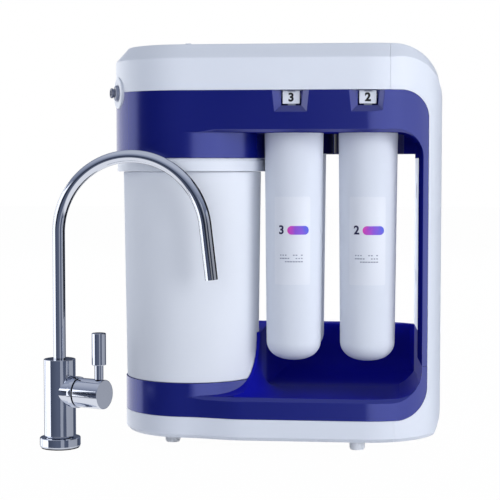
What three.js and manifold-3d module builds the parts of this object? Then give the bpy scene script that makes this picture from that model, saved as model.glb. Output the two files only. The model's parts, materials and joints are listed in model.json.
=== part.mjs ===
/*
 * Under-sink water filter: a white and navy filter unit with four hanging cartridges
 * and a round storage tank, and the gooseneck tap that belongs to it.
 *
 * Millimetres. X runs to the right, Y to the back and Z up. The unit is built around the
 * middle of its own footprint, and the finished group is moved so that its origin is the
 * middle of the underside of the whole object.
 */
import Module from 'manifold-3d';
import * as THREE from 'three';
import { ConvexGeometry } from 'three/addons/geometries/ConvexGeometry.js';
import { mergeVertices } from 'three/addons/utils/BufferGeometryUtils.js';

const wasm = await Module();
wasm.setup();

// Fits and fineness
const GAP = 0.3;
const WALL = 3;
const WELD = 1e-4;
const BIG_ARC = 5;
const BIG_TURN = 36;
const TURN = 18;
const SMALL_TURN = 12;
const FAR = 600;

// Footprint of the body
const LEFT = -175;
const RIGHT = 175;
const FRONT = -95;
const BACK = 95;
const LEFT_RADIUS = 82;
const RIGHT_RADIUS = 80;

// Heights of the body
const FOOT_HEIGHT = 11.4;
const BASE_TOP = 34;
const RIM_FACE = 52.7;
const RIM_TOP = 56.5;
const TRAY_FLOOR = 50;
const SEAT_TOP = 69.3;
const TRAY_BACK = 117;
const COLUMN_LOW = 88;
const COLUMN_HIGH = 304.7;
const APRON_LOW = 309.5;
const BAND_LOW = 330.6;
const BAND_HIGH = 373.5;
const TOP = 421.5;

// Corners and bevels of the white shell, seen from the front
const TOP_CORNER = 52;
const LOW_CORNER = 48;
const LOW_CORNER_Z = 39.4;
const LID_BEVEL_WIDE = 13.4;
const LID_BEVEL_TALL = 15;
const BEVEL_FADE = 0.65;
const BASE_BEVEL = 4;
const TOP_SEAM = 119.9;
const LOW_SEAM = 125.7;

// Blue face and the bay in it, seen from the front
const BLUE_RIGHT = 160;
const BLUE_TOP_CORNER = 28;
const BLUE_LOW_CORNER = 32;
const BAY_RIGHT = 154.4;
const BAY_RIGHT_MIDDLE = 151.2;
const BAY_RIGHT_BACK = 148.8;
const BAY_TOP_CORNER = 25;
const BAY_LOW_CORNER = 33;
const BAY_SPLIT = 5;
const BAY_WALL_BACK = 69;
const TRAY_FILLET = 20;
const LINER_HOLE_Y = 40;

// Base under the tank
const BASE_LEFT_RADIUS = 72.5;
const RAMP_FROM = -93;
const RAMP_TO = -31;

// Tank
const TANK_X = -93;
const TANK_Y = -13;
const TANK_LOW_RADIUS = 69.7;
const TANK_HIGH_RADIUS = 74.3;
const TANK_HIGH = 290;
const COLLAR_HIGH = 304.1;
const COLLAR_RADIUS = 81;
const COLLAR_BORE = 66.3;
const SHROUD_RADIUS = 80.7;
const SEAT_RADIUS = 72.8;
const CRADLE_INNER = 72.5;
const CRADLE_OUTER = 76;
const SCOOP_LOW = 56.5;
const SCOOP_START = -84;
const SCOOP_LONG = 57;

// Cartridges, seen from above
const CARTRIDGE_X = 18.9;
const CARTRIDGE_PITCH = 78.3;
const CARTRIDGE_Y = 37.5;
const CARTRIDGE_HIGH_RADIUS = 31.2;
const CARTRIDGE_LOW_RADIUS = 28.9;
const CARTRIDGE_LOW = 90;
const CARTRIDGE_TOP = 338;
const CARTRIDGE_DOME = 20;
const CARTRIDGE_WALL = 2.4;
const CORE_BORE = 8;

// Cartridge necks, and the rings and sockets that hold them
const NECK_RADIUS = 15;
const NECK_TOP = 357;
const NECK_BORE = 4;
const LUG_REACH = 18.5;
const LUG_HALF = 5;
const LUG_LOW = 345;
const LUG_HIGH = 349;
const DRIVE_TOP = 364;
const DRIVE_RADIUS = 12;
const DRIVE_FLAT = 8.5;
const DRIVE_PLAY = 0.4;
const HEAD_LOW = 352;
const HEAD_HIGH = 366;
const RING_RADIUS = 24.6;
const FRONT_SOCKET_LOW = 343;
const FRONT_SOCKET_RADIUS = 30;
const REAR_SOCKET_RADIUS = 38.6;
const REAR_SOCKET_BORE = 35;
const SOCKET_MOUTH = 20;
const CARTRIDGE_HOLE = 32;
const REAR_SLOT_RADIUS = 39;

// Release buttons
const BUTTON_WIDE = 17.5;
const BUTTON_TALL = 13.6;
const BUTTON_LOW = 359.6;
const BUTTON_DEEP = 5;
const BUTTON_INSET = 9;
const BUTTON_TRAVEL = 3;
const WINDOW_WIDE = 20.6;
const WINDOW_LOW = 358;
const RECESS_TOP_WIDE = 37.7;
const RECESS_LOW_WIDE = 33;
const RECESS_LOW = 351.2;
const SPRING_BOW = 2.6;
const SPRING_LEAF = 0.8;
const SPRING_TALL = 11;
const SPRING_HALF = 4;
const SPRING_SINK = 1.2;

// Side port, measured from the white face outwards
const PORT_ANGLE = THREE.MathUtils.degToRad(65);
const PORT_ANGLE_ABOUT_Z = Math.PI / 2 - PORT_ANGLE;
const PORT_X = TANK_X - LEFT_RADIUS * Math.sin(PORT_ANGLE);
const PORT_Y = TANK_Y - LEFT_RADIUS * Math.cos(PORT_ANGLE);
const PORT_Z = 373;
const ESCUTCHEON_RADIUS = 16.4;
const ESCUTCHEON_DEEP = 4;
const ESCUTCHEON_FACE = 1.2;
const ESCUTCHEON_EASE = 0.6;
const PORT_BODY_RADIUS = 8.2;
const PORT_BODY_DEEP = 3;
const PORT_BODY_FACE = 4.2;
const PORT_BODY_EASE = 1;
const COLLET_RADIUS = 4.4;
const COLLET_LIP = 5.3;
const COLLET_LIP_FROM = 6.5;
const COLLET_FACE = 8.6;
const COLLET_BORE = 3.3;
const PORT_CLEAR = 20;

// Feet
const FOOT_RADIUS = 8;
const FOOT_PLACES = {
  front_left: [-111, -42],
  front_right: [87.5, -66.5],
  rear_left: [-111, 66],
  rear_right: [87.5, 75],
};

// Tap
const TAP_X = -224.5;
const TAP_Y = -85.5;
const GASKET_BORE = 14;
const TAP_BODY_RADIUS = 16.6;
const TAP_BODY_TOP = 93.7;
const TAP_BASE_RADIUS = 21.35;
const TAP_BASE_TOP = 11;
const TAP_BASE_BORE = 8;
const SPIGOT_PLAY = 0.5;
const SPIGOT_DEPTH = 8;
const WATERWAY_RADIUS = 4;
const STUB_RADIUS = 14.4;
const STUB_FLANGE_FROM = 20;
const STUB_END = 25;
const VALVE_ROOM_RADIUS = 11;
const VALVE_ROOM_FROM = 4;
const SPOUT_RADIUS = 6.5;
const SPOUT_BORE = 4.8;
const SPOUT_BEND = 80;
const SPOUT_BEND_Z = 226;
const SPOUT_SWEEP = THREE.MathUtils.degToRad(173.2);
const SPOUT_TAIL = 56;
const SPOUT_YAW = THREE.MathUtils.degToRad(-8.8);
const VALVE_YAW = THREE.MathUtils.degToRad(-23.3);
const VALVE_Z = 60;
const BARREL_RADIUS = 15.3;
const BARREL_FROM = 26;
const BARREL_TO = 57.2;
const SPINDLE_RADIUS = 6;
const SPINDLE_END = 30;
const LEVER_AT = 50;
const STEM_RADIUS = 4.6;
const STEM_TOP = 30;
const GRIP_RADIUS = 7.4;
const GRIP_TOP = 63.7;
const GRIP_EDGE = 0.8;
const OUTLET_BORE = 2.6;
const OUTLET_LONG = 5;

// Finishes
const FINISH = {
  white: { color: 0xd6dbe6, roughness: 0.35, metalness: 0 },
  shell: { color: 0xe3e7f0, roughness: 0.3, metalness: 0 },
  navy: { color: 0x181d6c, roughness: 0.3, metalness: 0 },
  deepNavy: { color: 0x0b0d58, roughness: 0.4, metalness: 0 },
  grey: { color: 0x737a91, roughness: 0.4, metalness: 0 },
  carbon: { color: 0x2b2c30, roughness: 0.9, metalness: 0 },
  rubber: { color: 0x202226, roughness: 0.8, metalness: 0 },
  pale: { color: 0xc9cfdb, roughness: 0.6, metalness: 0 },
  steel: { color: 0x9a9ea6, roughness: 0.35, metalness: 1 },
  chrome: { color: 0xc6cad2, roughness: 0.08, metalness: 1 },
  ceramic: { color: 0xe9e4da, roughness: 0.3, metalness: 0 },
};

// Solids from geometries

function signedVolume(positions, triangles) {
  const a = new THREE.Vector3();
  const b = new THREE.Vector3();
  const c = new THREE.Vector3();
  let volume = 0;
  for (let i = 0; i < triangles.length; i += 3) {
    a.fromArray(positions, triangles[i] * 3);
    b.fromArray(positions, triangles[i + 1] * 3);
    c.fromArray(positions, triangles[i + 2] * 3);
    volume += a.dot(b.cross(c));
  }
  return volume / 6;
}

function solid(geometry) {
  const bare = geometry.clone();
  bare.deleteAttribute('normal');
  bare.deleteAttribute('uv');
  const merged = mergeVertices(bare, WELD);
  const positions = merged.getAttribute('position').array;
  const corners = merged.getIndex().array;
  const triangles = [];
  for (let i = 0; i < corners.length; i += 3) {
    const [a, b, c] = corners.slice(i, i + 3);
    if (a !== b && b !== c && c !== a) {
      triangles.push(a, b, c);
    }
  }
  if (signedVolume(positions, triangles) < 0) {
    triangles.reverse();
  }
  const vertProperties = new Float32Array(positions);
  const triVerts = new Uint32Array(triangles);
  return new wasm.Manifold(new wasm.Mesh({ numProp: 3, vertProperties, triVerts }));
}

function geometryOf(body) {
  const { vertProperties, triVerts } = body.getMesh();
  const geometry = new THREE.BufferGeometry();
  geometry.setAttribute('position', new THREE.BufferAttribute(new Float32Array(vertProperties), 3));
  geometry.setIndex(new THREE.BufferAttribute(new Uint32Array(triVerts), 1));
  geometry.computeVertexNormals();
  return geometry;
}

function join(first, ...others) {
  return others.reduce((sum, other) => sum.add(other), first);
}

function cut(first, ...others) {
  return others.reduce((rest, other) => rest.subtract(other), first);
}

// A shape drawn from above, raised between two heights
function rise(shape, low, high, curveSegments = BIG_ARC) {
  const settings = { depth: high - low, bevelEnabled: false, curveSegments };
  return solid(new THREE.ExtrudeGeometry(shape, settings).translate(0, 0, low));
}

// A shape drawn from the front, as X and Z, run from one Y to another
function runBack(shape, near, far, curveSegments = BIG_ARC) {
  const settings = { depth: far - near, bevelEnabled: false, curveSegments };
  return solid(new THREE.ExtrudeGeometry(shape, settings).rotateX(Math.PI / 2).translate(0, far, 0));
}

// A shape drawn from the right, as Y and Z, run from one X to another
function runAcross(shape, near, far, curveSegments = BIG_ARC) {
  const settings = { depth: far - near, bevelEnabled: false, curveSegments };
  const turn = new THREE.Matrix4().set(0, 0, 1, near, 1, 0, 0, 0, 0, 1, 0, 0, 0, 0, 0, 1);
  return solid(new THREE.ExtrudeGeometry(shape, settings).applyMatrix4(turn));
}

function block(x0, x1, y0, y1, z0, z1) {
  const geometry = new THREE.BoxGeometry(x1 - x0, y1 - y0, z1 - z0);
  return solid(geometry.translate((x0 + x1) / 2, (y0 + y1) / 2, (z0 + z1) / 2));
}

// A profile of radius and height, turned about Z
function turned(profile, segments = TURN, x = 0, y = 0) {
  const points = profile.map(([radius, height]) => new THREE.Vector2(radius, height));
  const geometry = new THREE.LatheGeometry(points, segments);
  return solid(geometry.rotateX(Math.PI / 2).translate(x, y, 0));
}

function rod(radius, low, high, segments = TURN, x = 0, y = 0) {
  return turned([[0, low], [radius, low], [radius, high], [0, high]], segments, x, y);
}

function tube(outer, inner, low, high, segments = TURN, x = 0, y = 0) {
  return turned([[inner, low], [outer, low], [outer, high], [inner, high], [inner, low]], segments, x, y);
}

function polygon(points) {
  return new THREE.Shape(points.map(([x, y]) => new THREE.Vector2(x, y)));
}

// A rectangle with its own radius at each corner, named as on a clock from the lower left
function roundedRectangle(x0, y0, x1, y1, lowLeft, lowRight, highRight, highLeft) {
  const shape = new THREE.Shape();
  shape.moveTo(x0 + lowLeft, y0);
  shape.lineTo(x1 - lowRight, y0);
  shape.absarc(x1 - lowRight, y0 + lowRight, lowRight, -Math.PI / 2, 0);
  shape.lineTo(x1, y1 - highRight);
  shape.absarc(x1 - highRight, y1 - highRight, highRight, 0, Math.PI / 2);
  shape.lineTo(x0 + highLeft, y1);
  shape.absarc(x0 + highLeft, y1 - highLeft, highLeft, Math.PI / 2, Math.PI);
  shape.lineTo(x0, y0 + lowLeft);
  shape.absarc(x0 + lowLeft, y0 + lowLeft, lowLeft, Math.PI, Math.PI * 1.5);
  return shape;
}

// The body's outlines

function footprint(inset = 0) {
  const left = LEFT_RADIUS - inset;
  const right = RIGHT_RADIUS - inset;
  const corners = [left, right, right, left];
  return roundedRectangle(LEFT + inset, FRONT + inset, RIGHT - inset, BACK - inset, ...corners);
}

function baseFootprint(inset = 0) {
  const left = BASE_LEFT_RADIUS - inset;
  const right = RIGHT_RADIUS - inset;
  const backCentre = BACK - BASE_LEFT_RADIUS;
  const shape = new THREE.Shape();
  shape.moveTo(RAMP_FROM, TANK_Y - left);
  shape.lineTo(RAMP_TO, FRONT + inset);
  shape.lineTo(RIGHT - RIGHT_RADIUS, FRONT + inset);
  shape.absarc(RIGHT - RIGHT_RADIUS, FRONT + RIGHT_RADIUS, right, -Math.PI / 2, 0);
  shape.absarc(RIGHT - RIGHT_RADIUS, BACK - RIGHT_RADIUS, right, 0, Math.PI / 2);
  shape.absarc(TANK_X, backCentre, left, Math.PI / 2, Math.PI);
  shape.absarc(TANK_X, TANK_Y, left, Math.PI, Math.PI * 1.5);
  return shape;
}

function blueOutline(clearance = 0) {
  const low = BASE_TOP - clearance;
  const high = BAND_HIGH + clearance;
  const right = BLUE_RIGHT + clearance;
  const lowCorner = BLUE_LOW_CORNER + clearance;
  const highCorner = BLUE_TOP_CORNER + clearance;
  return roundedRectangle(-FAR, low, right, high, 1, lowCorner, highCorner, 1);
}

// The white shell's outside: the footprint carried up, rounded over at the right, with a
// bevel round the top that narrows as it turns down the right-hand corner
function envelope(inset = 0) {
  const points = [];
  const topCorner = TOP_CORNER - inset;
  const lowCorner = LOW_CORNER - inset;
  const topCentre = RIGHT - TOP_CORNER;
  const lowCentre = RIGHT - LOW_CORNER;
  const topCentreZ = TOP - TOP_CORNER;
  const floor = FOOT_HEIGHT + inset;
  const steps = BIG_ARC * 2;
  const roof = (x) => {
    const reach = Math.min(1, Math.max(0, (x - topCentre) / topCorner));
    return topCentreZ + topCorner * Math.sqrt(1 - reach * reach);
  };
  const keel = (x) => {
    const reach = Math.min(1, Math.max(0, (x - lowCentre) / lowCorner));
    return Math.max(floor, LOW_CORNER_Z - lowCorner * Math.sqrt(1 - reach * reach));
  };
  for (const side of [-1, 1]) {
    for (let i = 0; i <= steps; i += 1) {
      const angle = (i / steps) * (Math.PI / 2);
      const across = Math.cos(angle);
      const along = side * Math.sin(angle);
      const rightCentre = side * (BACK - RIGHT_RADIUS);
      const leftCentre = side * (BACK - LEFT_RADIUS);
      const rightAt = (radius) => [RIGHT - RIGHT_RADIUS + radius * across, rightCentre + radius * along];
      const leftAt = (radius) => [TANK_X - radius * across, leftCentre + radius * along];
      const [x, y] = rightAt(RIGHT_RADIUS - inset);
      const fade = 1 - BEVEL_FADE * Math.min(1, Math.max(0, (x - topCentre) / topCorner));
      const [innerX, innerY] = rightAt(RIGHT_RADIUS - inset - LID_BEVEL_WIDE * fade);
      points.push(new THREE.Vector3(x, y, roof(x) - LID_BEVEL_TALL * fade));
      points.push(new THREE.Vector3(innerX, innerY, roof(innerX)));
      const [lowX, lowY] = rightAt(RIGHT_RADIUS - inset - BASE_BEVEL);
      const flat = keel(x) <= floor;
      points.push(new THREE.Vector3(x, y, keel(x) + (flat ? BASE_BEVEL : 0)));
      points.push(new THREE.Vector3(lowX, lowY, keel(lowX)));
      const [leftX, leftY] = leftAt(LEFT_RADIUS - inset);
      const [lidX, lidY] = leftAt(LEFT_RADIUS - inset - LID_BEVEL_WIDE);
      points.push(new THREE.Vector3(leftX, leftY, TOP - inset - LID_BEVEL_TALL));
      points.push(new THREE.Vector3(leftX, leftY, floor));
      points.push(new THREE.Vector3(lidX, lidY, TOP - inset));
      const shoulder = RIGHT - TOP_CORNER + topCorner * Math.sin(angle);
      points.push(new THREE.Vector3(shoulder, rightCentre, roof(shoulder)));
      const heel = RIGHT - LOW_CORNER + lowCorner * Math.sin(angle);
      points.push(new THREE.Vector3(heel, rightCentre, keel(heel)));
    }
  }
  return solid(new ConvexGeometry(points));
}

// The bay between the tank and the right-hand column, seen from the front
function bayOutline() {
  const low = TRAY_FLOOR;
  const high = BAND_LOW;
  return roundedRectangle(-FAR, low, BAY_RIGHT, high, 1, BAY_LOW_CORNER, BAY_TOP_CORNER, 1);
}

// The bay's right-hand side, seen from above: it closes in a little towards the back
function bayFloorPlan(extra = 0) {
  return polygon([
    [-FAR, FRONT - 1],
    [BAY_RIGHT + extra, FRONT - 1],
    [BAY_RIGHT + extra, FRONT + 26],
    [BAY_RIGHT_MIDDLE + extra, BAY_SPLIT],
    [BAY_RIGHT_BACK + extra, BAY_WALL_BACK],
    [BAY_RIGHT_BACK + extra, BACK + 1],
    [-FAR, BACK + 1],
  ]);
}

function recessHull(x, face, deep) {
  const high = BAND_HIGH + 1;
  const inner = face + deep * BUTTON_INSET;
  const outer = face - deep * 2;
  const spread = (RECESS_TOP_WIDE - WINDOW_WIDE) / BUTTON_INSET;
  const outerTop = RECESS_TOP_WIDE + spread * 2;
  const outerLow = RECESS_LOW_WIDE + spread * 2;
  const sink = (WINDOW_LOW - RECESS_LOW) / BUTTON_INSET;
  const corners = [];
  for (const side of [-0.5, 0.5]) {
    corners.push(new THREE.Vector3(x + side * outerTop, outer, high));
    corners.push(new THREE.Vector3(x + side * outerLow, outer, RECESS_LOW - sink * 2));
    corners.push(new THREE.Vector3(x + side * WINDOW_WIDE, inner, high));
    corners.push(new THREE.Vector3(x + side * WINDOW_WIDE, inner, WINDOW_LOW));
  }
  return solid(new ConvexGeometry(corners));
}

// Where each cartridge hangs: its number and whether it faces the front or the back
const STATIONS = [
  { number: 1, x: CARTRIDGE_X + CARTRIDGE_PITCH, y: CARTRIDGE_Y, side: 1 },
  { number: 2, x: CARTRIDGE_X + CARTRIDGE_PITCH, y: -CARTRIDGE_Y, side: -1 },
  { number: 3, x: CARTRIDGE_X, y: -CARTRIDGE_Y, side: -1 },
  { number: 4, x: CARTRIDGE_X, y: CARTRIDGE_Y, side: 1 },
];

// A round bar along the side port's axis, from one distance off the face to another
function portBar(radius, from, to, segments = TURN) {
  const turn = new THREE.Euler(0, -Math.PI / 2, PORT_ANGLE_ABOUT_Z, 'ZYX');
  const along = new THREE.Matrix4().makeRotationFromEuler(turn);
  const geometry = new THREE.CylinderGeometry(radius, radius, to - from, segments);
  geometry.rotateX(Math.PI / 2).translate(0, 0, (from + to) / 2);
  geometry.applyMatrix4(along).translate(PORT_X, PORT_Y, PORT_Z);
  return solid(geometry);
}

// The round hole that the side port's escutcheon sits in
function portHole() {
  return portBar(ESCUTCHEON_RADIUS + GAP, -ESCUTCHEON_DEEP - GAP, PORT_CLEAR);
}

// White shells

function topCover() {
  const keep = block(-FAR, TOP_SEAM - GAP / 2, -FAR, FAR, BAND_HIGH + GAP, FAR);
  const skin = cut(envelope(), envelope(WALL));
  const edge = FRONT + LID_BEVEL_WIDE;
  const catchNub = block(-91, -85, edge + 1, edge + 4, TOP - 1, TOP + 0.8);
  return cut(join(skin.intersect(keep), catchNub), portHole());
}

function rightSideShell() {
  const upper = block(TOP_SEAM + GAP / 2, FAR, -FAR, FAR, 200, FAR);
  const lower = block(LOW_SEAM + GAP / 2, FAR, -FAR, FAR, -FAR, 200);
  const skin = cut(envelope(), envelope(WALL));
  const shell = skin.intersect(join(upper, lower));
  return cut(shell, runBack(blueOutline(GAP), FRONT - 1, BACK + 1));
}

function basePan() {
  const outer = rise(baseFootprint(), FOOT_HEIGHT + BASE_BEVEL, BASE_TOP - GAP / 2);
  const foot = rise(baseFootprint(BASE_BEVEL), FOOT_HEIGHT, BASE_TOP - 1);
  const hollow = rise(baseFootprint(BASE_BEVEL + WALL), FOOT_HEIGHT + WALL, BASE_TOP + 1);
  const wide = rise(baseFootprint(WALL), FOOT_HEIGHT + BASE_BEVEL + WALL, BASE_TOP + 1);
  const keep = block(-FAR, LOW_SEAM - GAP / 2, -FAR, FAR, -FAR, FAR);
  return cut(join(outer, foot), hollow, wide).intersect(keep);
}

// Navy mouldings

function upperHousing() {
  const blue = runBack(blueOutline(), FRONT - 1, BACK + 1);
  const band = rise(footprint(), BAND_LOW, BAND_HIGH).intersect(blue);
  const shroudLow = COLLAR_HIGH + GAP;
  const shroudTop = BAND_LOW + WALL;
  const shroudEdge = [[SHROUD_RADIUS, shroudLow], [LEFT_RADIUS, shroudTop]];
  const shroudProfile = [[0, shroudLow], ...shroudEdge, [0, shroudTop]];
  const shroud = turned(shroudProfile, BIG_TURN, TANK_X, TANK_Y);
  const cornerLeft = BAY_RIGHT - BAY_TOP_CORNER - 1;
  const cornerKeep = block(cornerLeft, FAR, -FAR, FAR, COLUMN_HIGH + GAP, BAND_HIGH - 1);
  const body = rise(footprint(), COLUMN_HIGH + GAP, BAND_HIGH).intersect(blue);
  const bay = runBack(bayOutline(), FRONT - 1, BACK + 1).intersect(rise(bayFloorPlan(), -1, FAR));
  const corner = cut(body.intersect(cornerKeep), bay);
  const apron = body.intersect(block(-20, BLUE_RIGHT, BACK - WALL, BACK + 1, APRON_LOW, BAND_HIGH - 1));

  const insideRight = BLUE_RIGHT - WALL;
  const inside = rise(footprint(WALL), BAND_LOW + WALL, BAND_HIGH - WALL);
  const insideBlue = inside.intersect(block(-FAR, insideRight, -FAR, FAR, 0, FAR));
  const [floorLow, floorHigh] = [BAND_LOW - 1, BAND_LOW + WALL + 1];
  const tankBore = rod(SHROUD_RADIUS - WALL, COLLAR_HIGH - 1, floorHigh, BIG_TURN, TANK_X, TANK_Y);
  const frontStations = STATIONS.filter(({ side }) => side < 0);
  const frontHoles = frontStations.map(({ x, y }) => rod(CARTRIDGE_HOLE, floorLow, floorHigh, TURN, x, y));
  const radius = REAR_SLOT_RADIUS;
  const [slotLeft, slotRight] = [CARTRIDGE_X - radius, CARTRIDGE_X + CARTRIDGE_PITCH + radius];
  const slotEnds = [slotLeft, CARTRIDGE_Y - radius, slotRight, CARTRIDGE_Y + radius];
  const slotShape = roundedRectangle(...slotEnds, radius, radius, radius, radius);
  const rearSlot = rise(slotShape, floorLow, floorHigh, 6);
  const hollow = cut(join(band, shroud, corner, apron), insideBlue, tankBore, ...frontHoles, rearSlot);

  const wells = [];
  const recesses = [];
  for (const { x, side } of STATIONS) {
    const face = side * BACK;
    const inner = face - side * (BUTTON_INSET + WALL);
    const [near, far] = [Math.min(face, inner), Math.max(face, inner)];
    const wide = RECESS_TOP_WIDE / 2 + 1;
    const well = block(x - wide, x + wide, near, far, RECESS_LOW - WALL, BAND_HIGH);
    wells.push(well.intersect(rise(footprint(), BAND_LOW, BAND_HIGH)));
    recesses.push(recessHull(x, face, -side));
    const half = WINDOW_WIDE / 2;
    const reach = face - side * (BUTTON_INSET + BUTTON_DEEP + BUTTON_TRAVEL + GAP);
    const [from, to] = [Math.min(face, reach), Math.max(face, reach)];
    recesses.push(block(x - half, x + half, from, to, WINDOW_LOW, BAND_HIGH + 1));
  }
  return cut(join(hollow, ...wells), ...recesses, portHole());
}

function columnPart(near, far) {
  const strip = block(BAY_RIGHT_BACK - 1, BLUE_RIGHT, near, far, COLUMN_LOW, COLUMN_HIGH);
  const whole = rise(footprint(), COLUMN_LOW, COLUMN_HIGH).intersect(strip);
  const outer = cut(whole, rise(bayFloorPlan(), 0, FAR));
  const core = rise(footprint(WALL), 0, FAR);
  return cut(outer, cut(core, rise(bayFloorPlan(WALL), 0, FAR)));
}

function sideBezel() {
  return columnPart(FRONT - 1, BAY_SPLIT - GAP / 2);
}

function rearLiner() {
  const trayRoom = block(0, FAR, BAY_WALL_BACK - GAP, FAR, 0, TRAY_BACK + GAP);
  const wall = cut(columnPart(BAY_SPLIT + GAP / 2, BACK + 1), trayRoom);
  const holes = [[9, 268.7], [2, 220.9], [9, 173.1]].map(([radius, z]) => {
    const hole = new THREE.CylinderGeometry(radius, radius, 12, SMALL_TURN);
    return solid(hole.rotateZ(Math.PI / 2).translate(BAY_RIGHT_BACK + 1, LINER_HOLE_Y, z));
  });
  return cut(wall, ...holes);
}

function lowerTray() {
  const bottom = BASE_TOP + GAP / 2;
  const blue = runBack(blueOutline(), FRONT - 1, BACK + 1);
  const deck = rise(baseFootprint(), bottom, RIM_TOP).intersect(blue);
  const tall = rise(baseFootprint(), bottom, TRAY_BACK).intersect(blue);
  const seat = rod(SEAT_RADIUS, bottom, SEAT_TOP, BIG_TURN, TANK_X, TANK_Y).intersect(tall);
  const rearWall = tall.intersect(block(-60, BLUE_RIGHT, BAY_WALL_BACK, BACK + 1, bottom, TRAY_BACK));
  const rightEdge = BAY_RIGHT - BAY_LOW_CORNER - 1;
  const cornerTop = COLUMN_LOW - GAP;
  const cornerRoom = block(rightEdge, BLUE_RIGHT, FRONT - 1, BAY_WALL_BACK + 1, bottom, cornerTop);
  const rightCorner = tall.intersect(cornerRoom);

  const scoopShape = new THREE.Shape();
  scoopShape.moveTo(-FAR, SCOOP_LOW);
  scoopShape.lineTo(SCOOP_START, SCOOP_LOW);
  scoopShape.absellipse(SCOOP_START, TRAY_BACK, SCOOP_LONG, TRAY_BACK - SCOOP_LOW, -Math.PI / 2, 0);
  scoopShape.lineTo(SCOOP_START + SCOOP_LONG, FAR);
  scoopShape.lineTo(-FAR, FAR);
  const cradleRing = tube(CRADLE_OUTER, CRADLE_INNER, bottom, TRAY_BACK, BIG_TURN, TANK_X, TANK_Y);
  const cradleKeep = block(TANK_X + 20, 0, FRONT, BAY_WALL_BACK + 1, bottom, TRAY_BACK);
  const cradle = cut(cradleRing.intersect(cradleKeep), runAcross(scoopShape, -FAR, FAR));

  const bayHollow = runBack(bayOutline(), FRONT - 1, BACK + 1).intersect(rise(bayFloorPlan(), 0, FAR));
  const depthShape = new THREE.Shape();
  depthShape.moveTo(FRONT - 1, FAR);
  depthShape.lineTo(FRONT - 1, RIM_TOP);
  depthShape.lineTo(FRONT + 7, RIM_TOP);
  depthShape.lineTo(FRONT + 14, TRAY_FLOOR);
  depthShape.lineTo(BAY_WALL_BACK - TRAY_FILLET, TRAY_FLOOR);
  depthShape.absarc(BAY_WALL_BACK - TRAY_FILLET, TRAY_FLOOR + TRAY_FILLET, TRAY_FILLET, -Math.PI / 2, 0);
  depthShape.lineTo(BAY_WALL_BACK, FAR);
  const tankSide = rod(CRADLE_OUTER, 0, FAR, BIG_TURN, TANK_X, TANK_Y);
  const leftOfTank = block(-FAR, TANK_X, -FAR, FAR, 0, FAR);
  const scoop = cut(bayHollow.intersect(runAcross(depthShape, -FAR, FAR)), tankSide, leftOfTank);
  const [rimNear, rimHigh] = [FRONT - 1, RIM_TOP + 2];
  const rimBevel = polygon([[rimNear, RIM_FACE - 1], [rimNear, rimHigh], [FRONT + 5.8, rimHigh]]);
  const rimCut = runAcross(rimBevel, RAMP_TO, BAY_RIGHT - BAY_LOW_CORNER);

  const under = rise(baseFootprint(WALL), 0, TRAY_FLOOR - WALL);
  const underLimit = block(-FAR, BLUE_RIGHT - WALL - 8, -FAR, FAR, 0, FAR);
  const seatHollow = rod(SEAT_RADIUS - WALL, 0, SEAT_TOP - WALL, BIG_TURN, TANK_X, TANK_Y);
  const rearHollow = block(-57, BLUE_RIGHT - 30, BAY_WALL_BACK + WALL, BACK - WALL, 0, TRAY_BACK - WALL);
  const rearInside = rearHollow.intersect(rise(baseFootprint(WALL), 0, FAR));
  const tankRoom = cut(tankSide, tube(CRADLE_OUTER + 1, CRADLE_INNER, 0, FAR, BIG_TURN, TANK_X, TANK_Y));
  const aboveSeat = tankRoom.intersect(block(-FAR, 0, -FAR, FAR, RIM_TOP, FAR));
  const walls = cut(join(deck, rearWall, rightCorner), aboveSeat, scoop, rimCut);
  return cut(join(walls, seat, cradle), under.intersect(underLimit), seatHollow, rearInside);
}

// Tank

function tankVessel() {
  const low = SEAT_TOP + GAP;
  const profile = [
    [0, low],
    [TANK_LOW_RADIUS - 3, low],
    [TANK_LOW_RADIUS, low + 2],
    [TANK_HIGH_RADIUS, TANK_HIGH],
    [TANK_HIGH_RADIUS - WALL, TANK_HIGH],
    [TANK_LOW_RADIUS - WALL, low + WALL + 2],
    [0, low + WALL],
  ];
  return turned(profile, BIG_TURN);
}

function tankCollar() {
  const low = TANK_HIGH + GAP;
  return turned([
    [COLLAR_BORE, low],
    [COLLAR_RADIUS - 1, low],
    [COLLAR_RADIUS, low + 1],
    [COLLAR_RADIUS - 0.8, COLLAR_HIGH],
    [COLLAR_BORE, COLLAR_HIGH],
    [COLLAR_BORE, low],
  ], BIG_TURN);
}

function tankHead() {
  const low = COLLAR_HIGH + GAP;
  return turned([
    [0, low],
    [SHROUD_RADIUS - WALL - 1, low],
    [SHROUD_RADIUS - WALL - 1, low + 8],
    [40, low + 20],
    [12, low + 24],
    [12, low + 40],
    [0, low + 40],
  ], BIG_TURN / 2 + 2);
}

function tankBladder() {
  return turned([
    [0, 130],
    [40, 136],
    [60, 160],
    [63, 288],
    [61, 288],
    [58, 161],
    [39, 138],
    [0, 132],
  ], TURN);
}

// Cartridges and their heads

function cartridgeShell() {
  const low = CARTRIDGE_LOW;
  const shoulder = low + CARTRIDGE_DOME;
  const dome = [];
  const steps = 4;
  for (let i = 0; i <= steps; i += 1) {
    const angle = (i / steps) * (Math.PI / 2);
    const outward = Math.sin(angle) ** 0.8;
    dome.push([CARTRIDGE_LOW_RADIUS * outward, low + CARTRIDGE_DOME * (1 - Math.cos(angle))]);
  }
  const rim = CARTRIDGE_HIGH_RADIUS;
  const inner = CARTRIDGE_LOW_RADIUS - CARTRIDGE_WALL;
  const walls = [[rim, CARTRIDGE_TOP], [rim - CARTRIDGE_WALL, CARTRIDGE_TOP], [inner, shoulder]];
  const floor = low + CARTRIDGE_WALL;
  return turned([...dome, ...walls, [inner * 0.7, floor + 4], [0, floor]], TURN);
}

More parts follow.
